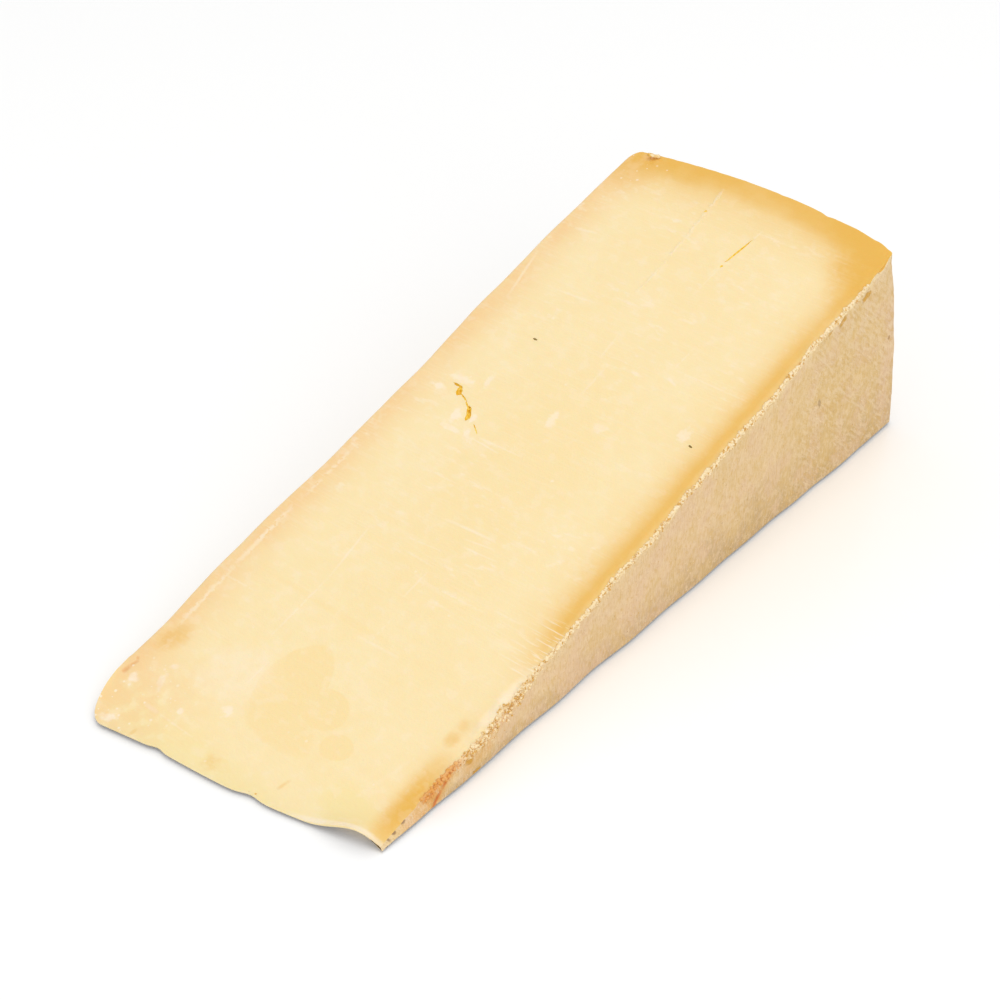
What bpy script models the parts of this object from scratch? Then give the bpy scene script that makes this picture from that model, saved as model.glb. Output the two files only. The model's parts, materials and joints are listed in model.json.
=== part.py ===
"""Wedge of mountain cheese, cut from a tall wheel and lying on one of its two knife cuts.

X runs across the wheel's height, from the left rind face to the right one.
Y runs from the thin tip, at the wheel's middle, to the heel, at the wheel's rim.
Z is up. The origin is at the middle of the wedge's box, on the surface that it lies on.
Below, a place "in the wheel" has X = 0 on the left rind face and Y = 0 on the wheel's axis.
"""

import math

import bmesh
import bpy
from mathutils import Matrix, Vector, noise

# The wheel
WHEEL_HEIGHT = 0.1094
WHEEL_RADIUS = 0.2806
RIM_BULGE = 0.0052
RIM_BULGE_MIDDLE = 0.0525
LEFT_CORNER = (0.0040, 0.0100)
RIGHT_CORNER = (0.0016, 0.0045)
RIGHT_CORNER_FILL = 0.75
HEEL_SWELL = 0.0034

# The two knife cuts: the lower one is the plane Z = 0
CUT_ANGLE = math.radians(16.2)
TIP_OVERRUN = 0.0162
TIP_BULGE = 0.0024
TIP_BULGE_START = 0.030
TIP_CORNER = (0.0110, 0.0240)
LIP_THICKNESS = 0.0011
LEFT_EDGE_ROUNDING = 0.0018

# The tip's thin lip curls up off the surface beside its right end
CURL_START = 0.0850
CURL_RISE = 0.0042
CURL_REACH = 0.0150
CURL_LEAN = 1.8

# Chips out of the tip's edge: place across the wheel, depth, width
TIP_CHIPS = ((0.0315, 0.0007, 0.0025), (0.0660, 0.0011, 0.0040))

# The upper cut waves a little along each rind, and the rind is uneven
RIGHT_WAVE = 0.0003
RIGHT_WAVE_LENGTH = 0.056
RIGHT_WAVE_START = 0.031
RIGHT_WAVE_WIDTH = 0.014
LEFT_BOW = 0.0005
LEFT_WAVE = 0.0007
LEFT_WAVE_LENGTH = 0.144
LEFT_WAVE_START = 0.163
RIGHT_BOW = 0.0011
RIGHT_BOW_MIDDLE = 0.020
RIGHT_BOW_WIDTH = 0.045
RIND_RELIEF = 0.0006
RIND_RELIEF_SIZE = 0.018
CUT_RELIEF = 0.0003
CUT_RELIEF_SIZE = 0.045
WAVE_FULL_HEIGHT = 0.012

# The crags that the knife breaks out of the right rind, along its cut edge
CRAG_RISE = 0.0006
CRAG_WIDTH = 0.0032
CRAG_SIZE = 0.0050
CRAG_FULL_HEIGHT = 0.006
CRAG_BREAK = 1.8
CRAG_BREAK_ALONG = 0.053
CRAG_BREAK_WIDTH = 0.013

# The origin, in the wheel
ORIGIN_ACROSS = WHEEL_HEIGHT / 2
ORIGIN_ALONG = 0.1331

# Cracks and pits that open in the upper cut: place in the wheel, length, width, depth, heading
CRACKS = {
    "eye_hook": ((0.0165, 0.1435), 0.0050, 0.0011, 0.0030, -10),
    "eye_body": ((0.0194, 0.1418), 0.0036, 0.0026, 0.0048, -48),
    "eye_link": ((0.0234, 0.1398), 0.0042, 0.0009, 0.0020, -42),
    "eye_lower": ((0.0283, 0.1358), 0.0062, 0.0019, 0.0044, -46),
    "eye_foot": ((0.0297, 0.1332), 0.0034, 0.0021, 0.0036, 10),
    "slit": ((0.0632, 0.2388), 0.0145, 0.0008, 0.0040, 82),
    "pit_near": ((0.0272, 0.1721), 0.0019, 0.0010, 0.0014, -5),
    "pit_far": ((0.0993, 0.1601), 0.0016, 0.0010, 0.0014, -20),
}

CRACK_ROUGHNESS = 0.22
CRACK_ROUGHNESS_SIZE = 0.6

# The broken flake that stands up at the heel: place in the wheel, height of its middle, size, turn
FLAKE_PLACE = (0.0098, 0.2628)
FLAKE_LIFT = 0.0004
FLAKE_SIZE = (0.0046, 0.0013, 0.0030)
FLAKE_TURN = (-38, 0, 28)
FLAKE_CHAMFER = 0.16
FLAKE_ROUGHNESS = 0.10

NOISE_SEED = 7

PASTE_COLOUR = (0.965, 0.780, 0.445)
RIND_COLOUR = (0.770, 0.560, 0.310)
EYE_COLOUR = (0.820, 0.520, 0.100)


def stations(*runs):
    """Fractions from 0 to 1 in evenly spaced runs, each given as (end, count)."""
    marks = [0.0]
    for end, count in runs:
        start = marks[-1]
        marks += [start + (end - start) * step / count for step in range(1, count + 1)]
    return marks


ACROSS = stations((0.012, 2), (0.040, 2), (0.10, 2), (0.90, 14), (0.97, 2), (1.0, 3))
ALONG = stations((0.055, 8), (1.0, 92))
UP = stations((0.72, 3), (1.0, 3))


def rounding(distance, reach):
    """How far a round edge has fallen away, from 1 on the edge to 0 at its reach."""
    near = max(0.0, 1 - distance / reach)
    return 1 - math.sqrt(1 - near * near)


def near_edge(distance, width):
    """A smooth share, 1 on an edge and nearly 0 at twice the width from it."""
    return math.exp(-((distance / width) ** 2))


def rim_radius(x, up):
    """The wheel's radius across its height. The right corner has settled fuller at the bottom."""
    off_middle = (x - RIM_BULGE_MIDDLE) / RIM_BULGE_MIDDLE
    radius = WHEEL_RADIUS - RIM_BULGE * off_middle**2
    radius -= LEFT_CORNER[1] * rounding(x, LEFT_CORNER[0])
    deep = RIGHT_CORNER[1] * (1 + RIGHT_CORNER_FILL * (2 * up - 1))
    radius -= deep * rounding(WHEEL_HEIGHT - x, RIGHT_CORNER[0])
    return radius + HEEL_SWELL * (1 - up) * (x / WHEEL_HEIGHT) ** 4


def tip_line(x):
    """Where the thin tip ends. The knife missed the wheel's axis on the left side."""
    line = -TIP_OVERRUN * (1 - x / WHEEL_HEIGHT)
    past = max(0.0, (x - TIP_BULGE_START) / (WHEEL_HEIGHT - TIP_BULGE_START))
    line -= TIP_BULGE * math.sin(math.pi * past)
    for middle, depth, width in TIP_CHIPS:
        line += depth * near_edge(x - middle, width)
    return line + TIP_CORNER[1] * rounding(x, TIP_CORNER[0])


def cut_height(x, y):
    """The upper cut's height over the lower cut."""
    flat = math.tan(CUT_ANGLE) * (y + TIP_OVERRUN * (1 - x / WHEEL_HEIGHT))
    thick = min(1.0, max(0.0, flat / WAVE_FULL_HEIGHT))
    right = math.sin(2 * math.pi * (y - RIGHT_WAVE_START) / RIGHT_WAVE_LENGTH)
    wave = RIGHT_WAVE * right * near_edge(WHEEL_HEIGHT - x, RIGHT_WAVE_WIDTH)
    wave += CUT_RELIEF * noise.noise(Vector((x, y, 0.0)) / CUT_RELIEF_SIZE)
    wave -= LEFT_EDGE_ROUNDING * rounding(x, LEFT_EDGE_ROUNDING)
    flat += wave * thick
    return flat / 2 + math.sqrt(flat * flat / 4 + LIP_THICKNESS**2)


def curl(x, y):
    """How far the lip has curled up off the surface."""
    share = max(0.0, (x - CURL_START) / (WHEEL_HEIGHT - CURL_START))
    back = max(0.0, 1 - (y - tip_line(x)) / CURL_REACH)
    return CURL_RISE * math.sin(math.pi * share**CURL_LEAN) * back**2


def left_rind(y, z):
    """How far the left rind face stands out from the flat."""
    wave = math.sin(2 * math.pi * (y - LEFT_WAVE_START) / LEFT_WAVE_LENGTH)
    rough = noise.noise(Vector((y, z, 0)) / RIND_RELIEF_SIZE)
    return LEFT_BOW + LEFT_WAVE * wave + RIND_RELIEF * rough


def right_rind(y, z):
    """How far the right rind face stands out from the flat."""
    bow = near_edge(y - RIGHT_BOW_MIDDLE, RIGHT_BOW_WIDTH)
    rough = noise.noise(Vector((y, z, 0.1)) / RIND_RELIEF_SIZE)
    return RIGHT_BOW * bow + RIND_RELIEF * rough


def crags(point, below_cut):
    """The move of a point near the cut edge of the right rind."""
    share = near_edge(WHEEL_HEIGHT - point.x, CRAG_WIDTH) * near_edge(below_cut, CRAG_WIDTH)
    thick = min(1.0, max(0.0, point.z / CRAG_FULL_HEIGHT))
    rise = CRAG_RISE * (1 + CRAG_BREAK * near_edge(point.y - CRAG_BREAK_ALONG, CRAG_BREAK_WIDTH))
    move = noise.noise_vector(point / CRAG_SIZE) * rise * share * thick
    return Vector((move.x, 0.0, move.z))


def place(across, along, up):
    """Carries a place in a unit block to its place in the wedge, in the wheel."""
    x = across * WHEEL_HEIGHT
    radius = rim_radius(x, up)
    heel = radius
    for _ in range(4):
        heel = math.sqrt(radius**2 - (up * cut_height(x, heel)) ** 2)
    tip = tip_line(x)
    y = tip + (heel - tip) * along
    top = cut_height(x, y)
    point = Vector((x, y, up * top + curl(x, y)))
    point.x += across * right_rind(y, point.z) - (1 - across) * left_rind(y, point.z)
    if up > 0:
        point += crags(point, (1 - up) * top)
    return point


def to_part(point):
    """From a place in the wheel to the part's own frame."""
    return point - Vector((ORIGIN_ACROSS, ORIGIN_ALONG, 0))


def material(name, colour, roughness):
    made = bpy.data.materials.new(name)
    made.use_nodes = True
    shader = made.node_tree.nodes["Principled BSDF"]
    shader.inputs["Base Color"].default_value = (*colour, 1)
    shader.inputs["Roughness"].default_value = roughness
    shader.inputs["Metallic"].default_value = 0
    made.diffuse_color = (*colour, 1)
    return made


def add_object(name, mesh_maker, *materials):
    data = bpy.data.meshes.new(name)
    mesh_maker.to_mesh(data)
    mesh_maker.free()
    for each in materials:
        data.materials.append(each)
    made = bpy.data.objects.new(name, data)
    bpy.context.scene.collection.objects.link(made)
    return made


def sliced_block():
    """A unit block sliced at every station, with its rind faces marked."""
    block = bmesh.new()
    bmesh.ops.create_cube(block, size=1, matrix=Matrix.Translation((0.5, 0.5, 0.5)))
    for axis, marks in enumerate((ACROSS, ALONG, UP)):
        normal = Vector((0, 0, 0))
        normal[axis] = 1
        for mark in marks[1:-1]:
            everything = block.verts[:] + block.edges[:] + block.faces[:]
            bmesh.ops.bisect_plane(block, geom=everything, plane_co=normal * mark, plane_no=normal)
    for face in block.faces:
        centre = face.calc_center_median()
        on_rind = min(centre.x, 1 - centre.x, 1 - centre.y) < 1e-5
        face.material_index = 1 if on_rind else 0
    return block


def make_wedge(paste, rind, lining):
    block = sliced_block()
    for vertex in block.verts:
        vertex.co = to_part(place(*vertex.co))
    bmesh.ops.triangulate(block, faces=block.faces[:])
    bmesh.ops.recalc_face_normals(block, faces=block.faces[:])
    wedge = add_object("cheese_wedge", block, paste, rind, lining)
    wedge.data.shade_smooth()
    wedge.data.set_sharp_from_angle(angle=math.radians(40))
    return wedge


def helper(name, mesh_maker, collection, *materials):
    """An object that only cuts or joins another one."""
    made = add_object(name, mesh_maker, *materials)
    bpy.context.scene.collection.objects.unlink(made)
    collection.objects.link(made)
    made.hide_render = True
    made.display_type = "WIRE"
    return made


def make_crack(name, collection, lining, centre, length, width, depth, heading):
    """A spindle-shaped cutter that stands half way into the upper cut."""
    spindle = bmesh.new()
    bmesh.ops.create_icosphere(spindle, subdivisions=2, radius=1)
    x, y = centre
    for vertex in spindle.verts:
        place_in_noise = vertex.co / CRACK_ROUGHNESS_SIZE + Vector((x, y, 0)) * 1000
        vertex.co += noise.noise_vector(place_in_noise) * CRACK_ROUGHNESS
    crack = helper(name, spindle, collection, lining)
    crack.location = to_part(Vector((x, y, cut_height(x, y))))
    crack.rotation_euler = (0, 0, math.radians(heading))
    crack.scale = (length / 2, width / 2, depth)
    return crack


def make_flake(collection, paste):
    """The flake: a thin chip that stands up out of the paste."""
    chip = bmesh.new()
    bmesh.ops.create_cube(chip, size=1)
    bmesh.ops.bevel(chip, geom=chip.edges[:], offset=FLAKE_CHAMFER, segments=1, affect="EDGES")
    for vertex in chip.verts:
        vertex.co += noise.noise_vector(vertex.co * 2) * FLAKE_ROUGHNESS
    flake = helper("flake", chip, collection, paste)
    x, y = FLAKE_PLACE
    flake.location = to_part(Vector((x, y, cut_height(x, y) + FLAKE_LIFT)))
    flake.rotation_euler = [math.radians(turn) for turn in FLAKE_TURN]
    flake.scale = FLAKE_SIZE
    return flake


def boolean(target, collection, operation):
    modifier = target.modifiers.new(collection.name, "BOOLEAN")
    modifier.operation = operation
    modifier.operand_type = "COLLECTION"
    modifier.collection = collection
    modifier.solver = "EXACT"
    modifier.material_mode = "TRANSFER"


def new_collection(name):
    made = bpy.data.collections.new(name)
    bpy.context.scene.collection.children.link(made)
    made.hide_render = True
    return made


def main():
    noise.seed_set(NOISE_SEED)
    for old in list(bpy.data.objects):
        bpy.data.objects.remove(old, do_unlink=True)
    paste = material("paste", PASTE_COLOUR, 0.55)
    rind = material("rind", RIND_COLOUR, 0.85)
    lining = material("eye_lining", EYE_COLOUR, 0.45)
    wedge = make_wedge(paste, rind, lining)
    flakes = new_collection("flakes")
    make_flake(flakes, paste)
    boolean(wedge, flakes, "UNION")
    cracks = new_collection("cracks")
    for name, (centre, *sizes) in CRACKS.items():
        make_crack(name, cracks, lining, centre, *sizes)
    boolean(wedge, cracks, "DIFFERENCE")


main()
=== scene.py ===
"""Looks of a wedge of mountain cheese that lies on one of its two knife cuts.

X runs across the wheel's height, from the left rind face to the right one.
Y runs from the thin tip to the heel, and Z is up. Lengths are in metres.
A place "in the wheel" has X = 0 on the left rind face and Y = 0 on the wheel's axis.
The materials measure such places in millimetres, so their sizes are in millimetres too.
"""

import json
import math

import bmesh
import bpy
from bpy.props import (
    FloatProperty,
    FloatVectorProperty,
    IntProperty,
    PointerProperty,
)
from bpy.types import Operator, Panel, PropertyGroup
from mathutils import Euler, Matrix, Vector, noise

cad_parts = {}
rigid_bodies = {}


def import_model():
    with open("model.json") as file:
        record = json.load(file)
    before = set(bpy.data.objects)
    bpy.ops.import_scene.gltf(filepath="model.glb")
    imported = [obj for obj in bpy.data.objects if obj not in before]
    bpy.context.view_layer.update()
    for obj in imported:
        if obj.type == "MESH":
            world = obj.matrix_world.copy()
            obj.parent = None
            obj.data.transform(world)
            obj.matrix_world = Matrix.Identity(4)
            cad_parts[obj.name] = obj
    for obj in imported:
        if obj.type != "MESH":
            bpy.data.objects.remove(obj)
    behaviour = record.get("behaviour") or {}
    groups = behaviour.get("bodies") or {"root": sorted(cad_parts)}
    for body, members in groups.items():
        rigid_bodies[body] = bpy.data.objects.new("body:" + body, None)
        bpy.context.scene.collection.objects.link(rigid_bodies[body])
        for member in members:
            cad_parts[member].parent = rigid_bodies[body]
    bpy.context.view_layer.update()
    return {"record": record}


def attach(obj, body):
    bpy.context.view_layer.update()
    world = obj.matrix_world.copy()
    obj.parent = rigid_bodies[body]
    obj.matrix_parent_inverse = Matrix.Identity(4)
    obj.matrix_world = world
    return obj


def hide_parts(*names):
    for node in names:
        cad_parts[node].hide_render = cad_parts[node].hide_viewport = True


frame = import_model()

bl_info = {
    "name": "Mountain cheese wedge",
    "version": (1, 0, 0),
    "blender": (4, 5, 0),
    "location": "View3D > Sidebar > Cheese",
    "description": "Makes the wedge's cut paste, rind, crumbs and flakes, and a plain studio",
    "category": "Object",
}

NODE = "cheese_wedge"
BODY = "root"
PASTE_COLOUR = tuple(frame["record"]["materials"][0]["base_color"])
MILLIMETRE = 0.001

# The rim and its corners
RIM_BULGE = 0.0052
RIM_BULGE_MIDDLE = 0.0525
LEFT_CORNER = (0.0040, 0.0100)
RIGHT_CORNER = (0.0016, 0.0045)
RIGHT_CORNER_FILL = 0.75
HEEL_SWELL = 0.0034
RIM_NOTCHES = ((0.0800, 0.0005, 0.0022), (0.0905, -0.0003, 0.0035), (0.1000, 0.0003, 0.0018))
CORNER_WEAR = 0.0014
CORNER_WEAR_REACH = 0.0040

# The tip, which the knife left ragged
TIP_BULGE = 0.0024
TIP_BULGE_START = 0.030
TIP_CORNER = (0.0110, 0.0240)
TIP_CHIPS = ((0.0315, 0.0007, 0.0025), (0.0660, 0.0011, 0.0040))
LEFT_EDGE_ROUNDING = 0.0018
CURL_START = 0.0850
CURL_RISE = 0.0042
CURL_REACH = 0.0150
CURL_LEAN = 1.8

# Waves of the cut and of the rind faces
RIGHT_WAVE = 0.0003
RIGHT_WAVE_LENGTH = 0.056
RIGHT_WAVE_START = 0.031
RIGHT_WAVE_WIDTH = 0.014
LEFT_BOW = 0.0005
LEFT_WAVE = 0.0007
LEFT_WAVE_LENGTH = 0.144
LEFT_WAVE_START = 0.163
RIGHT_BOW = 0.0011
RIGHT_BOW_MIDDLE = 0.020
RIGHT_BOW_WIDTH = 0.045
RIND_RELIEF = 0.0006
RIND_RELIEF_SIZE = 0.018
CUT_RELIEF = 0.0003
CUT_RELIEF_SIZE = 0.045
WAVE_FULL_HEIGHT = 0.012

# The crags that the knife breaks out of the right rind, along its cut edge
CRAG_RISE = 0.0006
CRAG_WIDTH = 0.0032
CRAG_SIZE = 0.0050
CRAG_FULL_HEIGHT = 0.006
CRAG_BREAK = 1.8
CRAG_BREAK_ALONG = 0.053
CRAG_BREAK_WIDTH = 0.013
FINE_CRAG_RISE = 0.0003
FINE_CRAG_SIZE = 0.0018

# The lower cut stands off the surface a little along its outline
FOOT_GAP = 0.0012
FOOT_GAP_SHARE = 0.6
FOOT_INSET = 0.0036
TIP_LIFT = 0.0007
TIP_LIFT_REACH = 0.012

# The right rind's upper edge is torn back near the tip
TIP_TEAR = 0.0009
TIP_TEAR_ALONG = 0.012
TIP_TEAR_WIDTH = 0.015

# The part's origin, in the wheel
ORIGIN_ALONG = 0.1331
NOISE_SEED = 7

# Cracks and pits that open in the upper cut: place in the wheel, length, width, depth, heading
CRACKS = {
    "eye_hook": ((0.0172, 0.1433), 0.0038, 0.0010, 0.0030, -6),
    "eye_body": ((0.0195, 0.1416), 0.0042, 0.0022, 0.0048, -66),
    "eye_link": ((0.0228, 0.1400), 0.0044, 0.0006, 0.0014, -26),
    "eye_link_end": ((0.0256, 0.1382), 0.0030, 0.0006, 0.0014, -38),
    "eye_lower": ((0.0282, 0.1360), 0.0064, 0.0016, 0.0040, -54),
    "eye_foot": ((0.0291, 0.1339), 0.0030, 0.0012, 0.0030, -70),
    "eye_trail": ((0.0348, 0.1314), 0.0052, 0.0004, 0.0008, -38),
    "slit": ((0.0633, 0.2391), 0.0150, 0.0007, 0.0014, 81),
    "slit_end": ((0.0622, 0.2300), 0.0014, 0.0009, 0.0012, 82),
    "pit_near": ((0.0272, 0.1721), 0.0018, 0.0008, 0.0014, -5),
    "pit_far": ((0.0993, 0.1601), 0.0015, 0.0008, 0.0014, -20),
    "seam_hole": ((0.0420, 0.2494), 0.0011, 0.0008, 0.0008, 60),
}
CRACK_DEPTH_SHOWN = 0.32
CRACK_ROUGHNESS = 0.42
CRACK_ROUGHNESS_SIZE = 0.5


def rounding(distance, reach):
    """How far a round edge has fallen away, from 1 on the edge to 0 at its reach."""
    near = max(0.0, 1 - distance / reach)
    return 1 - math.sqrt(1 - near * near)


def near_edge(distance, width):
    """A smooth share, 1 on an edge and nearly 0 at twice the width from it."""
    return math.exp(-((distance / width) ** 2))


class WedgeForm:
    """The wedge's outer form: a rule from shares of its width, length and thickness to a place."""

    def __init__(self, sizes):
        self.height = sizes.wheel_height
        self.radius = sizes.wheel_radius
        self.cut_angle = sizes.cut_angle
        self.slope = math.tan(sizes.cut_angle)
        self.overrun = sizes.tip_overrun
        self.lip = sizes.lip_thickness
        self.origin = Vector((self.height / 2, ORIGIN_ALONG, 0))

    def rim_radius(self, x, up):
        """The wheel's radius across its height. The right corner has settled fuller at the bottom."""
        off_middle = (x - RIM_BULGE_MIDDLE) / RIM_BULGE_MIDDLE
        radius = self.radius - RIM_BULGE * off_middle**2
        radius -= LEFT_CORNER[1] * rounding(x, LEFT_CORNER[0])
        deep = RIGHT_CORNER[1] * (1 + RIGHT_CORNER_FILL * (2 * up - 1))
        radius -= deep * rounding(self.height - x, RIGHT_CORNER[0])
        for middle, depth, width in RIM_NOTCHES:
            radius -= depth * near_edge(x - middle, width) * up
        return radius + HEEL_SWELL * (1 - up) * (x / self.height) ** 4

    def tip_line(self, x):
        """Where the thin tip ends. The knife missed the wheel's axis on the left side."""
        line = -self.overrun * (1 - x / self.height)
        past = max(0.0, (x - TIP_BULGE_START) / (self.height - TIP_BULGE_START))
        line -= TIP_BULGE * math.sin(math.pi * past)
        for middle, depth, width in TIP_CHIPS:
            line += depth * near_edge(x - middle, width)
        return line + TIP_CORNER[1] * rounding(x, TIP_CORNER[0])

    def cut_height(self, x, y):
        """The upper cut's height over the lower cut."""
        flat = self.slope * (y + self.overrun * (1 - x / self.height))
        thick = min(1.0, max(0.0, flat / WAVE_FULL_HEIGHT))
        right = math.sin(2 * math.pi * (y - RIGHT_WAVE_START) / RIGHT_WAVE_LENGTH)
        wave = RIGHT_WAVE * right * near_edge(self.height - x, RIGHT_WAVE_WIDTH)
        wave += CUT_RELIEF * noise.noise(Vector((x, y, 0.0)) / CUT_RELIEF_SIZE)
        wave -= LEFT_EDGE_ROUNDING * rounding(x, LEFT_EDGE_ROUNDING)
        flat += wave * thick
        return flat / 2 + math.sqrt(flat * flat / 4 + self.lip**2)

    def curl(self, x, y):
        """How far the lip has curled up off the surface."""
        share = max(0.0, (x - CURL_START) / (self.height - CURL_START))
        back = max(0.0, 1 - (y - self.tip_line(x)) / CURL_REACH)
        lift = TIP_LIFT * max(0.0, 1 - (y - self.tip_line(x)) / TIP_LIFT_REACH) ** 2
        lift *= 1 - near_edge(self.height - x, TIP_LIFT_REACH)
        return lift + CURL_RISE * math.sin(math.pi * share**CURL_LEAN) * back**2

    def left_rind(self, y, z):
        """How far the left rind face stands out from the flat."""
        wave = math.sin(2 * math.pi * (y - LEFT_WAVE_START) / LEFT_WAVE_LENGTH)
        rough = noise.noise(Vector((y, z, 0)) / RIND_RELIEF_SIZE)
        return LEFT_BOW + LEFT_WAVE * wave + RIND_RELIEF * rough

    def right_rind(self, y, z, up):
        """How far the right rind face stands out from the flat, more at its bottom than at its cut edge."""
        bow = RIGHT_BOW * near_edge(y - RIGHT_BOW_MIDDLE, RIGHT_BOW_WIDTH) * (1 - 0.7 * up)
        tear = TIP_TEAR * near_edge(y - TIP_TEAR_ALONG, TIP_TEAR_WIDTH) * up
        rough = noise.noise(Vector((y, z, 0.1)) / RIND_RELIEF_SIZE)
        return bow - tear + RIND_RELIEF * rough

    def crags(self, point, below_cut):
        """The move of a point near the cut edge of the right rind."""
        share = near_edge(self.height - point.x, CRAG_WIDTH) * near_edge(below_cut, CRAG_WIDTH)
        thick = min(1.0, max(0.0, point.z / CRAG_FULL_HEIGHT))
        rise = CRAG_RISE * (1 + CRAG_BREAK * near_edge(point.y - CRAG_BREAK_ALONG, CRAG_BREAK_WIDTH))
        move = noise.noise_vector(point / CRAG_SIZE) * rise
        move += noise.noise_vector(point / FINE_CRAG_SIZE) * FINE_CRAG_RISE
        move *= share * thick
        return Vector((move.x, 0.0, move.z))

    def corner_wear(self, x, from_heel):
        """How far the heel's right upper corner is worn down."""
        beside_right = near_edge(self.height - x, CORNER_WEAR_REACH)
        return CORNER_WEAR * beside_right * near_edge(from_heel, CORNER_WEAR_REACH)

    def place(self, across, along, up):
        """Carries a place in a unit block to its place in the part."""
        x = across * self.height
        radius = self.rim_radius(x, up)
        heel = radius
        for _ in range(4):
            heel = math.sqrt(radius**2 - (up * self.cut_height(x, heel)) ** 2)
        tip = self.tip_line(x)
        y = tip + (heel - tip) * along
        top = self.cut_height(x, y) - self.corner_wear(x, heel - y)
        gap = min(FOOT_GAP, top * FOOT_GAP_SHARE)
        point = Vector((x, y, gap * (1 - up) + up * top + self.curl(x, y)))
        right, left = self.right_rind(y, point.z, up), self.left_rind(y, point.z)
        point.x += across * right - (1 - across) * left
        if up > 0:
            point += self.crags(point, (1 - up) * top)
        return point - self.origin

    def on_cut(self, x, y, lift=0.0):
        """The part's place of a point of the upper cut that is given in the wheel."""
        return Vector((x, y, self.cut_height(x, y) + lift)) - self.origin


class Builder:
    """Adds nodes to a node tree, and feeds each input a value or another node's output."""

    def __init__(self, tree):
        self.tree = tree

    def add(self, kind, inputs=None, **settings):
        node = self.tree.nodes.new(kind)
        for name, value in settings.items():
            setattr(node, name, value)
        for key, value in (inputs or {}).items():
            self.feed(node.inputs[key], value)
        return node

    def feed(self, socket, value):
        if isinstance(value, bpy.types.NodeSocket):
            self.tree.links.new(value, socket)
        else:
            socket.default_value = value

    def math(self, operation, *values):
        return self.add("ShaderNodeMath", dict(enumerate(values)), operation=operation).outputs[0]

    def share_of(self, part, whole):
        """The part over the whole, kept from 0 to 1."""
        share = self.math("DIVIDE", part, whole)
        return self.math("MINIMUM", self.math("MAXIMUM", share, 0.0), 1.0)

    def vector(self, operation, *values, out=0):
        inputs = dict(enumerate(values))
        return self.add("ShaderNodeVectorMath", inputs, operation=operation).outputs[out]

    def scaled(self, vector, factor):
        return self.add("ShaderNodeVectorMath", {0: vector, "Scale": factor}, operation="SCALE").outputs[0]

    def times(self, *values):
        product = values[0]
        for value in values[1:]:
            product = self.math("MULTIPLY", product, value)
        return product

    def smooth(self, value, start, end, low=0.0, high=1.0):
        """A smooth step from low at start to high at end."""
        inputs = {"Value": value, "From Min": start, "From Max": end, "To Min": low, "To Max": high}
        node = self.add("ShaderNodeMapRange", inputs, interpolation_type="SMOOTHSTEP", clamp=False)
        return node.outputs["Result"]

    def noise(self, place, size, detail=3.0, stretch=None):
        """Noise whose lumps are about size long, in the units of the place."""
        if stretch is not None:
            place = self.vector("MULTIPLY", place, stretch)
        inputs = {"Vector": place, "Scale": 1 / size, "Detail": detail}
        return self.add("ShaderNodeTexNoise", inputs).outputs["Fac"]

    def ramp(self, value, stops):
        """A share for each stop, given as (position, share), kept in the ramp's alpha."""
        node = self.add("ShaderNodeValToRGB", {"Fac": value})
        elements = node.color_ramp.elements
        while len(elements) < len(stops):
            elements.new(0.5)
        for element, (position, share) in zip(elements, stops):
            element.position = position
            element.color = (1, 1, 1, share)
        return node.outputs["Alpha"]

    def mix(self, share, first, second):
        """The first colour, changed into the second by the share."""
        node = self.add("ShaderNodeMix", data_type="RGBA")
        self.feed(node.inputs[0], share)
        for socket, colour in ((node.inputs[6], first), (node.inputs[7], second)):
            self.feed(socket, colour if isinstance(colour, bpy.types.NodeSocket) else (*colour[:3], 1))
        return node.outputs[2]

    def group(self, group, **inputs):
        """A group node, with its inputs given by name, spaces written as underscores."""
        node = self.add("ShaderNodeGroup", node_tree=group)
        for name, value in inputs.items():
            self.feed(node.inputs[name.replace("_", " ").capitalize()], value)
        return node.outputs


FLOAT = "NodeSocketFloat"
VECTOR = "NodeSocketVector"
INTEGER = "NodeSocketInt"
MATERIAL = "NodeSocketMaterial"
ZERO = (0, 0, 0)


def linear(*levels):
    """A colour as the renderer counts it, from red, green and blue levels out of 255."""
    shares = (level / 255 for level in levels)
    return tuple(s / 12.92 if s <= 0.04045 else ((s + 0.055) / 1.055) ** 2.4 for s in shares)


def new_group(name, inputs, outputs):
    """A shader node group, and a builder inside it. A number's socket is a float, a triple's a vector."""
    group = bpy.data.node_groups.new(name, "ShaderNodeTree")
    for label, value in inputs.items():
        kind = FLOAT if isinstance(value, float) else VECTOR
        group.interface.new_socket(label, in_out="INPUT", socket_type=kind).default_value = value
    for label, kind in outputs.items():
        group.interface.new_socket(label, in_out="OUTPUT", socket_type=kind)
    build = Builder(group)
    entry = build.add("NodeGroupInput").outputs
    leave = build.add("NodeGroupOutput").inputs
    return group, build, entry, leave


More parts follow.
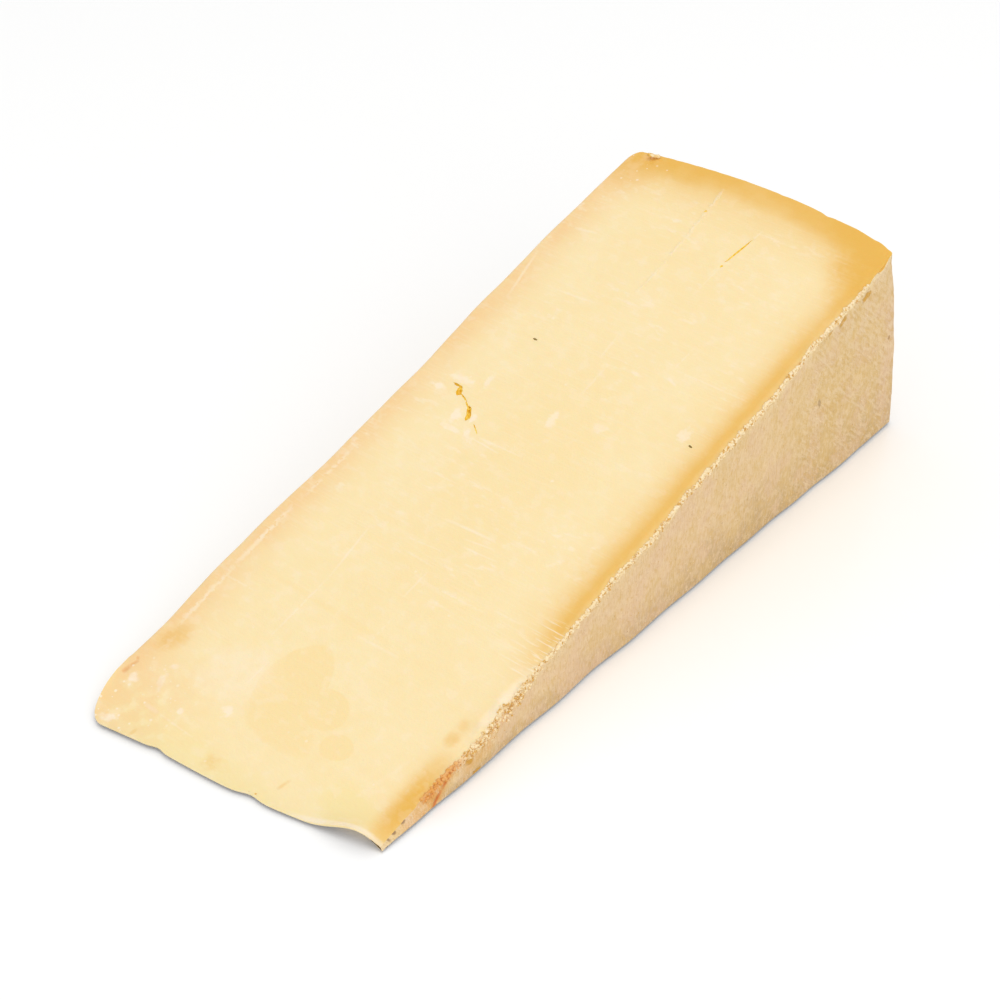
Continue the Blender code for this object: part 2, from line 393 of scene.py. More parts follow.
def wheel_place_group():
    """Turns Object coordinates into a place in the wheel, in millimetres."""
    group, build, entry, leave = new_group(
        "wheel place",
        {"Point": ZERO, "Origin": ZERO, "Radius": 280.0},
        {"Place": VECTOR, **dict.fromkeys(("Across", "Along", "Up", "Under rim", "Facing up"), FLOAT)},
    )
    moved = build.vector("ADD", entry["Point"], entry["Origin"])
    place = build.scaled(moved, 1 / MILLIMETRE)
    split = build.add("ShaderNodeSeparateXYZ", {0: place}).outputs
    for label, axis in (("Across", "X"), ("Along", "Y"), ("Up", "Z")):
        build.feed(leave[label], split[axis])
    build.feed(leave["Place"], place)
    from_axis = build.vector("MULTIPLY", place, (0, 1, 1))
    distance = build.vector("LENGTH", from_axis, out="Value")
    middle = RIM_BULGE_MIDDLE / MILLIMETRE
    off_middle = build.math("DIVIDE", build.math("SUBTRACT", split["X"], middle), middle)
    bulge = build.times(off_middle, off_middle, RIM_BULGE / MILLIMETRE)
    rim = build.math("SUBTRACT", entry["Radius"], bulge)
    build.feed(leave["Under rim"], build.math("SUBTRACT", rim, distance))
    normal = build.add("ShaderNodeNewGeometry").outputs["True Normal"]
    facing = build.add("ShaderNodeSeparateXYZ", {0: normal}).outputs["Z"]
    build.feed(leave["Facing up"], build.smooth(facing, 0.3, 0.8))
    return group


def blotch_group():
    """A soft oval patch with a wandering outline. Its axes are as long as one over its half sizes."""
    group, build, entry, leave = new_group(
        "blotch",
        {
            "Place": ZERO, "Centre": ZERO, "First axis": (1, 0, 0), "Second axis": (0, 1, 0),
            "Softness": 0.3, "Wander": 0.3, "Wave": 0.0,
        },
        {"Mask": FLOAT},
    )
    from_centre = build.vector("SUBTRACT", entry["Place"], entry["Centre"])
    first = build.vector("DOT_PRODUCT", from_centre, entry["First axis"], out="Value")
    second = build.vector("DOT_PRODUCT", from_centre, entry["Second axis"], out="Value")
    reach = build.math("MULTIPLY_ADD", second, second, build.math("MULTIPLY", first, first))
    reach = build.math("MULTIPLY_ADD", entry["Wave"], entry["Wander"], build.math("SQRT", reach))
    inner = build.math("SUBTRACT", 1.0, entry["Softness"])
    outer = build.math("ADD", 1.0, entry["Softness"])
    build.feed(leave["Mask"], build.smooth(reach, outer, inner))
    return group


def scratch_group():
    """A thin broken line from one place to another."""
    group, build, entry, leave = new_group(
        "scratch",
        {
            "Place": ZERO, "Start": ZERO, "End": (1, 0, 0), "Width": 0.4, "Drift": ZERO,
            "Wander": 0.5, "Broken": 0.5, "Gaps": 0.5,
        },
        {"Mask": FLOAT},
    )
    drift = build.scaled(entry["Drift"], entry["Wander"])
    run = build.vector("SUBTRACT", entry["End"], entry["Start"])
    reach = build.vector("SUBTRACT", build.vector("ADD", entry["Place"], drift), entry["Start"])
    length = build.vector("DOT_PRODUCT", run, run, out="Value")
    share = build.share_of(build.vector("DOT_PRODUCT", reach, run, out="Value"), length)
    off_line = build.vector("LENGTH", build.vector("SUBTRACT", reach, build.scaled(run, share)), out="Value")
    line = build.smooth(off_line, entry["Width"], build.math("MULTIPLY", entry["Width"], 0.15))
    ends = build.math("POWER", build.math("SINE", build.math("MULTIPLY", share, 3.14)), 0.5)
    gaps_from = build.math("MULTIPLY", entry["Gaps"], 0.9)
    kept = build.smooth(entry["Broken"], gaps_from, build.math("ADD", entry["Gaps"], 0.02))
    build.feed(leave["Mask"], build.times(line, ends, kept))
    return group


def specks_group():
    """Small round specks of uneven size, on a share of the surface."""
    group, build, entry, leave = new_group(
        "specks",
        {"Place": ZERO, "Spacing": 3.0, "Size": 0.5, "Share": 0.4, "Shift": ZERO},
        {"Mask": FLOAT},
    )
    place = build.vector("ADD", entry["Place"], entry["Shift"])
    cells = build.add("ShaderNodeTexVoronoi", {"Vector": place, "Randomness": 1.0})
    build.feed(cells.inputs["Scale"], build.math("DIVIDE", 1.0, entry["Spacing"]))
    distance = build.math("MULTIPLY", cells.outputs["Distance"], entry["Spacing"])
    draw = build.add("ShaderNodeSeparateColor", {0: cells.outputs["Color"]}).outputs
    size = build.math("MULTIPLY", build.math("ADD", draw["Red"], 0.3), entry["Size"])
    dot = build.smooth(distance, size, build.math("MULTIPLY", size, 0.4))
    chosen = build.math("LESS_THAN", draw["Green"], entry["Share"])
    build.feed(leave["Mask"], build.math("MULTIPLY", dot, chosen))
    return group


def fibres_group():
    """Fine streaks along one direction of the surface."""
    group, build, entry, leave = new_group(
        "fibres",
        {"Place": ZERO, "Turn": ZERO, "Squeeze": (1, 1, 0.1), "Size": 1.0},
        {"Height": FLOAT},
    )
    inputs = {"Vector": entry["Place"], "Rotation": entry["Turn"]}
    turned = build.add("ShaderNodeVectorRotate", inputs, rotation_type="EULER_XYZ")
    squeezed = build.vector("MULTIPLY", turned.outputs[0], entry["Squeeze"])
    streaks = build.add("ShaderNodeTexNoise", {"Vector": squeezed, "Detail": 4.0, "Roughness": 0.6})
    build.feed(streaks.inputs["Scale"], build.math("DIVIDE", 1.0, entry["Size"]))
    build.feed(leave["Height"], streaks.outputs["Fac"])
    return group


def finish_groups():
    """The shared effects, each built once and kept by its name."""
    makers = (wheel_place_group, blotch_group, scratch_group, specks_group, fibres_group)
    return {maker.__name__.removesuffix("_group"): maker() for maker in makers}


# Blotches with a half size above this one have an outline that wanders slowly
SLOW_WAVE_FROM = 5.0

# Stretches of the cut along the wedge, each with a material that holds only its own marks
PASTE_ZONES = {"paste_tip": (-40, 66), "paste_middle": (66, 150), "paste_heel": (150, 320)}
ZONE_MARGIN = 3.0
BLOTCH_REACH = 1.6

# The finishes of the wedge's faces, each face keeping its number; the last is painted shade on the lower
# cut's narrow rim
FINISHES = (*PASTE_ZONES, "rind", "foot_shade")

# The blooming left corners: where the bloom starts and is full along the wedge, and its width
CORNER_BLOOM = {"paste_tip": (22, 2, 40), "paste_heel": (232, 254, 19)}


# How honey coloured the cut is from the rim inwards, over 26 mm, and from the right rind, over 20 mm
HEEL_RIPENESS = (
    (0.0, 1.0), (0.07, 1.0), (0.2, 0.94), (0.29, 0.75), (0.37, 0.54), (0.5, 0.36), (0.7, 0.2), (1.0, 0.0),
)
RIGHT_RIPENESS = (
    (0.0, 0.62), (0.05, 0.74), (0.1, 0.88), (0.17, 0.87), (0.25, 0.7), (0.33, 0.52), (0.44, 0.32),
    (0.62, 0.12), (1.0, 0.0),
)

# How strong the honey colour at the right rind is at places along the wedge, in millimetres
ALONG_SPAN = 280.0
RIGHT_RIPENESS_ALONG = (
    (0, 0.5), (4, 0.6), (12, 0.5), (30, 0.4), (36, 0.15), (46, 0.2), (54, 0.06), (64, 0.2), (74, 0.5),
    (84, 1.0), (200, 1.0), (220, 0.85), (240, 1.0),
)

# How peach coloured the cut is from the left rind inwards, over 18 mm
LEFT_PEACH = ((0.0, 0.75), (0.12, 0.95), (0.3, 0.75), (0.5, 0.42), (0.75, 0.14), (1.0, 0.0))

# Blotches on the upper cut, by colour: centre across and along, half size across and along,
# turn in degrees, softness, wander, strength
PASTE_BLOTCHES = {
    "wet": {
        "wet_patch": (50.5, 27, 10.5, 15.0, 0, 0.04, 0.10, 0.95),
        "wet_patch_side": (64.5, 26, 8.0, 7.0, 0, 0.05, 0.12, 0.95),
        "wet_patch_low": (57, 14.5, 13, 6.5, -6, 0.12, 0.25, 0.85),
        "wet_round": (76.5, 18, 5.4, 4.4, 10, 0.06, 0.10, 0.95),
        "wet_left": (23, 14.5, 4.5, 6.0, 20, 0.25, 0.3, 0.6),
        "wet_tip": (51, -5, 4.5, 2.6, 0, 0.2, 0.3, 0.7),
        "wet_line": (43, 53.5, 24, 1.1, 0, 0.6, 0.4, 0.5),
        "moist_middle": (58, 128, 20, 48, 0, 0.5, 0.3, 0.5),
        "moist_heel": (52, 238, 34, 26, 0, 0.6, 0.3, 0.4),
    },
    "tip": {
        "tip_zone": (50, -10, 58, 8, -8, 0.5, 0.3, 0.5),
        "tip_green": (95, 4, 13, 7, -20, 0.5, 0.4, 0.7),
    },
    "honey": {
        "stain_near_tip": (107.0, 14.5, 4.4, 13, 3, 0.75, 0.2, 0.95),
        "stain_dot": (103.5, 43, 1.6, 1.9, 0, 0.8, 0.3, 0.35),
        "stain_dot_low": (103.6, 38, 2.0, 2.3, 0, 0.8, 0.3, 0.5),
        "left_stain": (6.5, 19.5, 3.4, 5.5, -25, 0.6, 0.4, 0.5),
        "tip_gold": (48.6, -5.6, 2.2, 2.6, 20, 0.7, 0.6, 0.3),
        "tip_gold_right": (71.9, 0.4, 0.6, 2.0, -15, 0.7, 0.4, 0.4),
        "tip_gold_left": (21.5, -11.2, 0.7, 1.6, 0, 0.6, 0.4, 0.4),
        "heel_left": (6, 256, 9, 10, 0, 0.6, 0.3, 0.45),
        "heel_right": (108, 257, 15, 21, 25, 0.5, 0.2, 0.9),
    },
    "bloom_and_highlight": {
        "bloom_edge": (6.6, 3.0, 1.8, 1.6, 0, 0.4, 0.9, 0.9),
        "bloom_tip": (10.7, -11.4, 2.6, 1.6, 30, 0.4, 0.9, 0.9),
        "bloom_ring_a": (14.8, 12.4, 1.7, 1.0, 0, 0.4, 0.8, 0.9),
        "bloom_ring_b": (15.2, 6.6, 1.1, 2.6, 20, 0.4, 0.9, 0.8),
        "bloom_ring_c": (28, 2.2, 1.0, 1.0, 0, 0.4, 0.8, 0.8),
        "bloom_ring_d": (39.8, 10.2, 1.6, 2.0, 0, 0.4, 0.9, 0.8),
        "pale_left": (33, 22, 13, 9, 30, 0.5, 0.6, 0.35),
        # Painted highlight: the lit edge of the curled lip at the tip, painted whitish.
        "lip_highlight": (97, -1.9, 14, 1.3, 14, 0.5, 0.2, 0.85),
        "pale_edge": (108, 55, 1.6, 12, 0, 0.6, 0.5, 0.6),
        "eye_halo": (17, 146, 4.5, 1.3, 8, 0.5, 1.0, 0.75),
        "eye_halo_left": (11.2, 139.8, 2.8, 1.0, 10, 0.5, 1.0, 0.8),
        "eye_halo_far": (25.5, 149, 0.9, 3.4, 8, 0.5, 1.0, 0.6),
        "eye_halo_low": (25.2, 132.8, 1.7, 2.4, 0, 0.4, 0.9, 0.85),
        "eye_halo_right": (31.2, 134.6, 0.9, 1.7, 0, 0.4, 0.8, 0.8),
        "eye_halo_end": (34.2, 127.8, 3.2, 1.3, -40, 0.4, 1.0, 0.8),
        "eye_halo_foot": (27.5, 127.6, 4.0, 0.8, 0, 0.5, 1.0, 0.7),
        "scuff_a": (54.2, 147.5, 1.3, 3.0, 10, 0.5, 1.0, 0.7),
        "scuff_b": (69.6, 152.2, 2.4, 1.4, 0, 0.5, 1.0, 0.6),
        "scuff_c": (95.0, 163, 1.6, 2.6, 0, 0.5, 1.0, 0.6),
    },
}

# Scratches on the upper cut: start and end, each across and along, then width, wander, gaps, strength
PASTE_SCRATCHES = {
    "slit_pale": (65.0, 250.5, 64.3, 245, 0.5, 0.4, 0.2, 0.5),
    "slit_below": (62.0, 229, 61.6, 214, 0.5, 0.6, 0.42, 0.3),
    "cross_a": (20, 194, 35, 195.3, 0.7, 0.5, 0.30, 0.5),
    "cross_b": (6, 221, 15, 222.5, 0.8, 0.7, 0.34, 0.5),
    "cross_c": (75, 184, 104, 184.5, 0.6, 0.6, 0.44, 0.4),
    "cross_d": (76, 180.5, 80.5, 178.5, 0.9, 0.7, 0.30, 0.6),
    "stroke_a": (76.0, 196, 75.5, 183, 0.5, 0.4, 0.44, 0.35),
    "stroke_b": (50.5, 188, 51.5, 176, 0.8, 0.6, 0.40, 0.4),
    "stroke_c": (55.5, 176, 55.8, 160, 0.8, 0.5, 0.46, 0.35),
    "knife_a": (50, 98.2, 70, 99.3, 0.7, 0.4, 0.30, 0.6),
    "knife_b": (60, 95.0, 71, 96.6, 0.5, 0.4, 0.36, 0.5),
    "knife_c": (61, 92.4, 75, 93.6, 0.5, 0.4, 0.36, 0.5),
    "knife_d": (42, 86.5, 58, 88.0, 0.5, 0.5, 0.42, 0.4),
    "knife_e": (42, 113.5, 60, 114.2, 0.5, 0.5, 0.44, 0.35),
    "knife_f": (38, 129.2, 56, 130, 0.5, 0.5, 0.42, 0.4),
    "knife_g": (47, 82.4, 59, 82, 0.6, 0.4, 0.38, 0.45),
    "long_a": (31.0, 84, 33.2, 62, 0.7, 0.5, 0.34, 0.55),
    "long_b": (33.2, 62, 32.6, 36, 0.6, 0.5, 0.40, 0.45),
    "long_c": (58.5, 80, 58.2, 68, 0.6, 0.5, 0.36, 0.45),
    "long_d": (60.5, 62, 60.3, 50, 0.6, 0.4, 0.44, 0.35),
    "cross_e": (54, 50.5, 72, 51.2, 0.7, 0.5, 0.38, 0.45),
    "cross_f": (59, 76.2, 84, 77, 0.6, 0.5, 0.42, 0.4),
    "cross_g": (85, 79.2, 96, 79.6, 0.6, 0.5, 0.36, 0.45),
    "cross_h": (3, 45.8, 17, 46.2, 0.6, 0.5, 0.42, 0.4),
    "fine_left": (38.5, 30, 38.2, 20, 0.5, 0.3, 0.40, 0.45),
    "white_streak": (16.0, -1.6, 22.6, -1.9, 1.0, 0.5, 0.20, 1.0),
    "white_streak_tail": (22, -1.8, 40, -2.4, 0.5, 0.4, 0.42, 0.4),
    "tip_curve": (99, 30, 92, 8, 1.0, 0.8, 0.38, 0.15),
    "left_line_a": (4.8, 106, 4.2, 82, 1.2, 2.4, 0.44, 0.55),
    "left_line_b": (3.8, 78, 4.0, 50, 1.3, 2.2, 0.42, 0.7),
    "left_line_c": (4.0, 50, 4.6, 24, 1.3, 2.6, 0.43, 0.65),
    "left_line_d": (1.5, 206, 6.0, 184, 0.8, 0.6, 0.30, 0.5),
    "eye_tail": (35, 128, 48, 127.2, 0.5, 0.6, 0.3, 0.6),
}

# Folds beside the tip, measured like the scratches
TIP_FOLDS = {
    "fold_low": (2.1, 2.6, 2.7, 5.9, 1.2, 1.2, 0.1, 1.0),
    "fold_high": (2.6, 5.3, 3.3, 8.4, 0.9, 1.2, 0.1, 0.85),
    "fold_end": (3.2, 8.2, 2.0, 9.4, 0.7, 0.8, 0.1, 0.6),
}

# The raised seam that runs down from the heel, measured like the scratches. Its pale line is partly the
# seam's own tone and partly a painted highlight on its lit side.
SEAM = {
    "seam_heel": (41.2, 262, 42.2, 250, 0.9, 2.6, 0.40, 0.8),
    "seam_upper": (42.2, 250, 43.2, 236, 1.0, 2.8, 0.42, 0.75),
    "seam_lower": (43.2, 236, 44.2, 221, 0.9, 2.4, 0.42, 0.6),
    "seam_end": (44.2, 221, 43.8, 206, 0.7, 1.8, 0.44, 0.5),
}

# Blotches on the right rind face, by colour: like those on the cut, but measured along and up
RIND_BLOTCHES = {
    "olive": {
        "green_heel": (236, 26, 26, 32, 0, 0.7, 0.4, 0.5),
    },
    "pink": {
        "pink_middle": (120, 16, 55, 16, 16, 0.8, 0.5, 0.4),
        "pink_heel": (269, 36, 5, 40, 0, 0.7, 0.3, 0.7),
    },
    "rust": {
        "tip_crack_patch": (25.6, 5.4, 6.4, 3.2, 38, 0.5, 0.6, 0.85),
        "tip_glow": (18, 3.4, 13, 4.2, 16, 0.6, 0.4, 0.5),
        "edge_stain": (52, 13.0, 9.0, 3.0, 16, 0.6, 0.7, 0.5),
        "edge_stain_low": (42, 8.0, 6.5, 4.0, 16, 0.6, 0.7, 0.45),
    },
}

# Dark spots of the right rind face, measured like its blotches
RIND_SPOTS = {
    "mauve": {
        "scar": (223, 36, 0.8, 1.6, 20, 0.5, 0.7, 0.5),
        "tip_spot_a": (10.4, 3.4, 0.9, 0.5, 0, 0.6, 0.9, 0.7),
        "tip_spot_b": (6.1, 2.3, 0.7, 0.35, 0, 0.6, 0.9, 0.75),
        "tip_spot_c": (3.7, 1.6, 0.6, 0.3, 0, 0.6, 0.9, 0.7),
    },
    "brown": {
        "heel_spot": (268, 41, 1.0, 0.8, 0, 0.4, 0.3, 0.7),
    },
}

# Golden pits of the right rind face, measured like its blotches
RIND_PITS = {
    "break_pit_a": (47.2, 13.0, 1.9, 1.0, 10, 0.5, 0.9, 0.9),
    "break_pit_b": (43.4, 9.9, 1.2, 1.5, 30, 0.5, 0.9, 0.8),
    "break_pit_c": (57.2, 14.0, 0.9, 1.8, -20, 0.5, 0.9, 0.85),
    "break_pit_d": (60.3, 16.2, 1.6, 0.8, 20, 0.5, 0.9, 0.85),
    "break_pit_e": (37.8, 7.2, 1.6, 1.0, 16, 0.5, 0.9, 0.8),
    "low_pit": (40.2, 1.4, 1.8, 0.7, 0, 0.5, 0.9, 0.8),
    "edge_pit_a": (168.9, 47.9, 1.3, 0.9, 20, 0.5, 0.8, 0.9),
    "edge_pit_b": (149.4, 42.0, 0.9, 1.0, 0, 0.5, 0.8, 0.8),
    "edge_pit_c": (126.7, 36.0, 1.4, 0.7, 40, 0.5, 0.8, 0.8),
    "heel_pit_a": (246.5, 66.6, 2.2, 1.3, 16, 0.5, 0.9, 0.9),
    "heel_pit_b": (232.4, 63.4, 2.0, 1.0, 30, 0.5, 0.9, 0.9),
    "heel_pit_c": (225.0, 62.2, 1.5, 0.8, 20, 0.5, 0.9, 0.8),
}

# Cracks of the right rind face: start and end, each along and up, then width, wander, gaps, strength
RIND_CRACKS = {
    "tip_crack_top": (30.7, 9.0, 26.2, 4.4, 0.9, 0.8, 0.10, 0.9),
    "tip_crack": (26.2, 4.4, 20.5, 0.6, 0.9, 0.9, 0.10, 0.9),
}


def length_property(label, about, length, shortest, longest):
    return FloatProperty(
        name=label, description=about, default=length, min=shortest, max=longest,
        unit="LENGTH", subtype="DISTANCE",
    )


def count_property(label, about, count, fewest, most):
    return IntProperty(name=label, description=about, default=count, min=fewest, max=most)


def colour_property(label, about, colour):
    return FloatVectorProperty(
        name=label, description=about, default=colour, size=3, min=0, max=1, subtype="COLOR",
    )


class CheeseSizes(PropertyGroup):
    """The wheel, its two cuts, and how finely the wedge is modelled."""

    wheel_height: length_property(
        "Wheel height", "From one rind face of the wheel to the other", 0.1094, 0.05, 0.2,
    )
    wheel_radius: length_property(
        "Wheel radius", "From the wheel's axis to its rim, where the rim bulges most", 0.2806, 0.1, 0.5,
    )
    cut_angle: FloatProperty(
        name="Cut angle", description="The angle between the two knife cuts",
        default=math.radians(16.2), min=math.radians(5), max=math.radians(60),
        unit="ROTATION", subtype="ANGLE",
    )
    tip_overrun: length_property(
        "Tip overrun", "How far the tip runs past the wheel's axis on the left", 0.0162, 0, 0.05,
    )
    lip_thickness: length_property("Lip thickness", "Thickness of the tip's lip", 0.0011, 0.0005, 0.005)
    cells_across: count_property("Cells across", "Mesh cells across the middle of the cut", 82, 10, 200)
    cells_along: count_property("Cells along", "Mesh cells from the tip to the heel", 290, 20, 600)
    cells_up: count_property("Cells up", "Mesh cells of the rind below the craggy cut edge", 32, 4, 80)
    rind_grain_depth: length_property(
        "Rind grain depth", "How far the rind's fine relief stands out", 0.0003, 0, 0.002,
    )
    rind_grain_size: length_property(
        "Rind grain size", "Size of the lumps of the rind's fine relief", 0.0034, 0.001, 0.02,
    )
    cut_ripple_depth: length_property(
        "Cut ripple depth", "How far the knife's ripples stand out of the cut", 8e-05, 0, 0.001,
    )
    cut_ripple_size: length_property("Cut ripple size", "Size of the knife's ripples", 0.009, 0.001, 0.05)


class CheeseColours(PropertyGroup):
    """The colours of the paste and of the rind."""

    paste: colour_property("Paste", "The pale cut paste", PASTE_COLOUR)
    wet: colour_property("Moist paste", "Paste in its moist patches", linear(250, 223, 164))
    peach: colour_property("Peach", "Paste under the left rind face", linear(246, 207, 148))
    honey: colour_property("Honey", "Paste right under the rind", linear(235, 183, 80))
    # Partly painted highlight: this whitish colour is real bloom and scuffs, and is also painted on the lit
    # edge of the tip's lip and the lit side of the seam.
    tip: colour_property("Tip", "The greenish thin paste at the tip", linear(248, 225, 160))
    bloom_and_highlight: colour_property("Bloom", "Whitish bloom and scuffs", linear(255, 236, 208))
    rind: colour_property("Rind", "The dry rind", linear(238, 206, 155))
    # Painted shade: this darker rind colour is painted towards the lower cut, where light from above reaches
    # the rind less.
    rind_shaded_low: colour_property("Low rind", "The rind close to the lower cut", linear(204, 173, 129))
    # Painted light, not knife scuffing: this paler rind colour is painted under the cut edge, where light
    # from above falls most.
    rind_lit_top: colour_property("Scuffed rind", "The rind scuffed by the knife", linear(250, 226, 180))
    rind_pale: colour_property("Pale rind", "The palest specks and fibres of the rind", linear(244, 216, 174))
    rind_dull: colour_property("Dull rind", "The yellow hollows between the fibres", linear(224, 184, 116))
    pink: colour_property("Pink rind", "The pinkish tone of the rind", linear(235, 200, 166))
    olive: colour_property("Olive rind", "The greenish tone of the rind", linear(228, 194, 130))
    rust: colour_property("Rust", "The stained rind near the tip", linear(232, 158, 68))
    mauve: colour_property("Mauve", "The dull spots on the rind", linear(140, 104, 80))
    brown: colour_property("Brown", "The darkest marks of the rind", linear(176, 122, 62))
    mustard: colour_property("Mustard", "The flecks of the rind", linear(216, 162, 84))
    lining: colour_property("Eye lining", "The moist inside of the eye cracks", linear(255, 228, 110))
    lining_deep: colour_property("Deep lining", "The deepest gold in the eye cracks", linear(244, 200, 58))
    pit: colour_property("Pit", "The dull inside of the small pits", linear(172, 146, 82))
    fold: colour_property("Fold", "The folds beside the tip", linear(228, 152, 78))
    # Painted shade, not damp paste: this dark colour on the lower cut's narrow rim stands in for the shadow
    # where the wedge meets the floor.
    foot_shade: colour_property("Foot", "The damp narrow rim of the lower cut", linear(84, 66, 46))
    gold: colour_property("Gold", "The golden pits under the cut edge", linear(216, 160, 56))
    ember: colour_property("Ember", "The deep orange crack in the rind near the tip", linear(214, 116, 56))
    crumb: colour_property("Crumb", "The crumbs along the cut edge", linear(252, 230, 184))


class CrumbSettings(PropertyGroup):
    """The crumbs that the knife left along the right cut edge, and the grains of the rind."""

    count: count_property("Crumbs", "Number of crumbs", 2000, 10, 8000)
    smallest: length_property("Smallest", "Radius of the smallest crumb", 0.0003, 0.0001, 0.002)
    largest: length_property("Largest", "Radius of the largest crumb", 0.00072, 0.0002, 0.004)
    band: length_property("Band", "How far below the cut edge the crumbs reach", 0.0021, 0.0005, 0.02)
    grain_density: FloatProperty(
        name="Grain density", description="Grains on each square metre of rind",
        default=60000, min=0, max=300000,
    )
    grain_size: length_property(
        "Grain size", "Radius of the largest grain of the rind", 0.00045, 0.0001, 0.002,
    )
    seed: IntProperty(name="Seed", description="Seed of every random draw", default=11, min=0)


class StageSettings(PropertyGroup):
    """The camera and the lights of the plain studio."""

    camera_place: FloatVectorProperty(
        name="Camera place", description="Where the camera stands",
        default=(0.3290, -0.41715, 0.4012), size=3, unit="LENGTH", subtype="TRANSLATION",
    )
    camera_turn: FloatVectorProperty(
        name="Camera turn", description="The camera's turn, tilted up from straight down and then about Z",
        default=(math.radians(54.42), 0, math.radians(39.18)), size=3,
        unit="ROTATION", subtype="EULER",
    )
    lens: FloatProperty(name="Lens", description="Focal length in millimetres", default=72, min=20, max=200)
    sky: FloatProperty(
        name="Sky", description="Strength of the even light from all round", default=0.76, min=0,
    )
    key_power: FloatProperty(
        name="Key light", description="Power of the large soft light overhead", default=25, min=0,
        unit="POWER", subtype="POWER",
    )
    fill_power: FloatProperty(
        name="Fill light", description="Power of the soft light beside the camera", default=6, min=0,
        unit="POWER", subtype="POWER",
    )
    floor: colour_property("Floor", "The pale floor", (0.985, 0.985, 0.98))
    floor_glow: FloatProperty(
        name="Floor glow", description="Light that the floor gives off", default=0.06, min=0,
    )


def new_object(name, data):
    made = bpy.data.objects.new(name, data)
    bpy.context.scene.collection.objects.link(made)
    return made


def dress(piece):
    """Puts a finished piece on the wedge's body, in place of the plain solid."""
    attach(piece, BODY)
    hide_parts(NODE)


def plain_mesh(name, source):
    """Turns what an object's modifiers make of it into a plain mesh of its own."""
    bpy.context.view_layer.update()
    evaluated = source.evaluated_get(bpy.context.evaluated_depsgraph_get())
    data = bpy.data.meshes.new_from_object(evaluated)
    data.name = name
    if not data.polygons:
        raise RuntimeError(f"{name} came out empty")
    return data


def node_modifier(target, tree, values):
    """A Geometry Nodes modifier whose inputs are given by name and set by identifier."""
    modifier = target.modifiers.new(tree.name, "NODES")
    modifier.node_group = tree
    for item in tree.interface.items_tree:
        if item.item_type == "SOCKET" and item.in_out == "INPUT" and item.name in values:
            modifier[item.identifier] = values[item.name]
    return modifier


def new_geometry_tree(name, **inputs):
    """A Geometry Nodes tree that is given its inputs' kinds by name, and a builder inside it."""
    tree = bpy.data.node_groups.new(name, "GeometryNodeTree")
    tree.interface.new_socket("Geometry", in_out="INPUT", socket_type="NodeSocketGeometry")
    for label, kind in inputs.items():
        tree.interface.new_socket(label, in_out="INPUT", socket_type=kind)
    tree.interface.new_socket("Geometry", in_out="OUTPUT", socket_type="NodeSocketGeometry")
    build = Builder(tree)
    return tree, build, build.add("NodeGroupInput").outputs, build.add("NodeGroupOutput").inputs


def grow_piece(name, source, tree, **values):
    """Makes a piece of what a Geometry Nodes tree makes of a helper object, and removes the helper."""
    node_modifier(source, tree, values)
    piece = new_object(name, plain_mesh(name, source))
    piece.data.shade_smooth()
    bpy.data.objects.remove(source, do_unlink=True)
    dress(piece)


def stations(*runs):
    """Fractions from 0 to 1 in evenly spaced runs, each given as (end, count)."""
    marks = [0.0]
    for end, count in runs:
        start = marks[-1]
        marks += [start + (end - start) * step / count for step in range(1, count + 1)]
    return marks


def block_skin(across, along, up):
    """The skin of a block of cells: its corners in shares of the block, and its outward faces."""
    last = (len(across) - 1, len(along) - 1, len(up) - 1)
    index = {}

    def corner(*cell):
        return index.setdefault(cell, len(index))

    faces = []
    for axis in range(3):
        first, second = (axis + 1) % 3, (axis + 2) % 3
        for end in (0, last[axis]):
            if axis == 2 and end == 0:
                continue
            for i in range(last[first]):
                for j in range(last[second]):
                    ring = []
                    for step_i, step_j in ((0, 0), (1, 0), (1, 1), (0, 1)):
                        cell = [0, 0, 0]
                        cell[axis], cell[first], cell[second] = end, i + step_i, j + step_j
                        ring.append(corner(*cell))
                    faces.append(ring if end else ring[::-1])
    columns, rows = last[0], last[1]
    outline = [(i, 0, 0) for i in range(columns)] + [(columns, j, 0) for j in range(rows)]
    outline += [(i, rows, 0) for i in range(columns, 0, -1)] + [(0, j, 0) for j in range(rows, 0, -1)]
    faces.append([corner(*cell) for cell in reversed(outline)])
    shares = [(across[i], along[j], up[k]) for i, j, k in index]
    return shares, faces


def attribute(build, name):
    """A number that is stored on the mesh."""
    return build.add("GeometryNodeInputNamedAttribute", {"Name": name}, data_type="FLOAT").outputs[0]


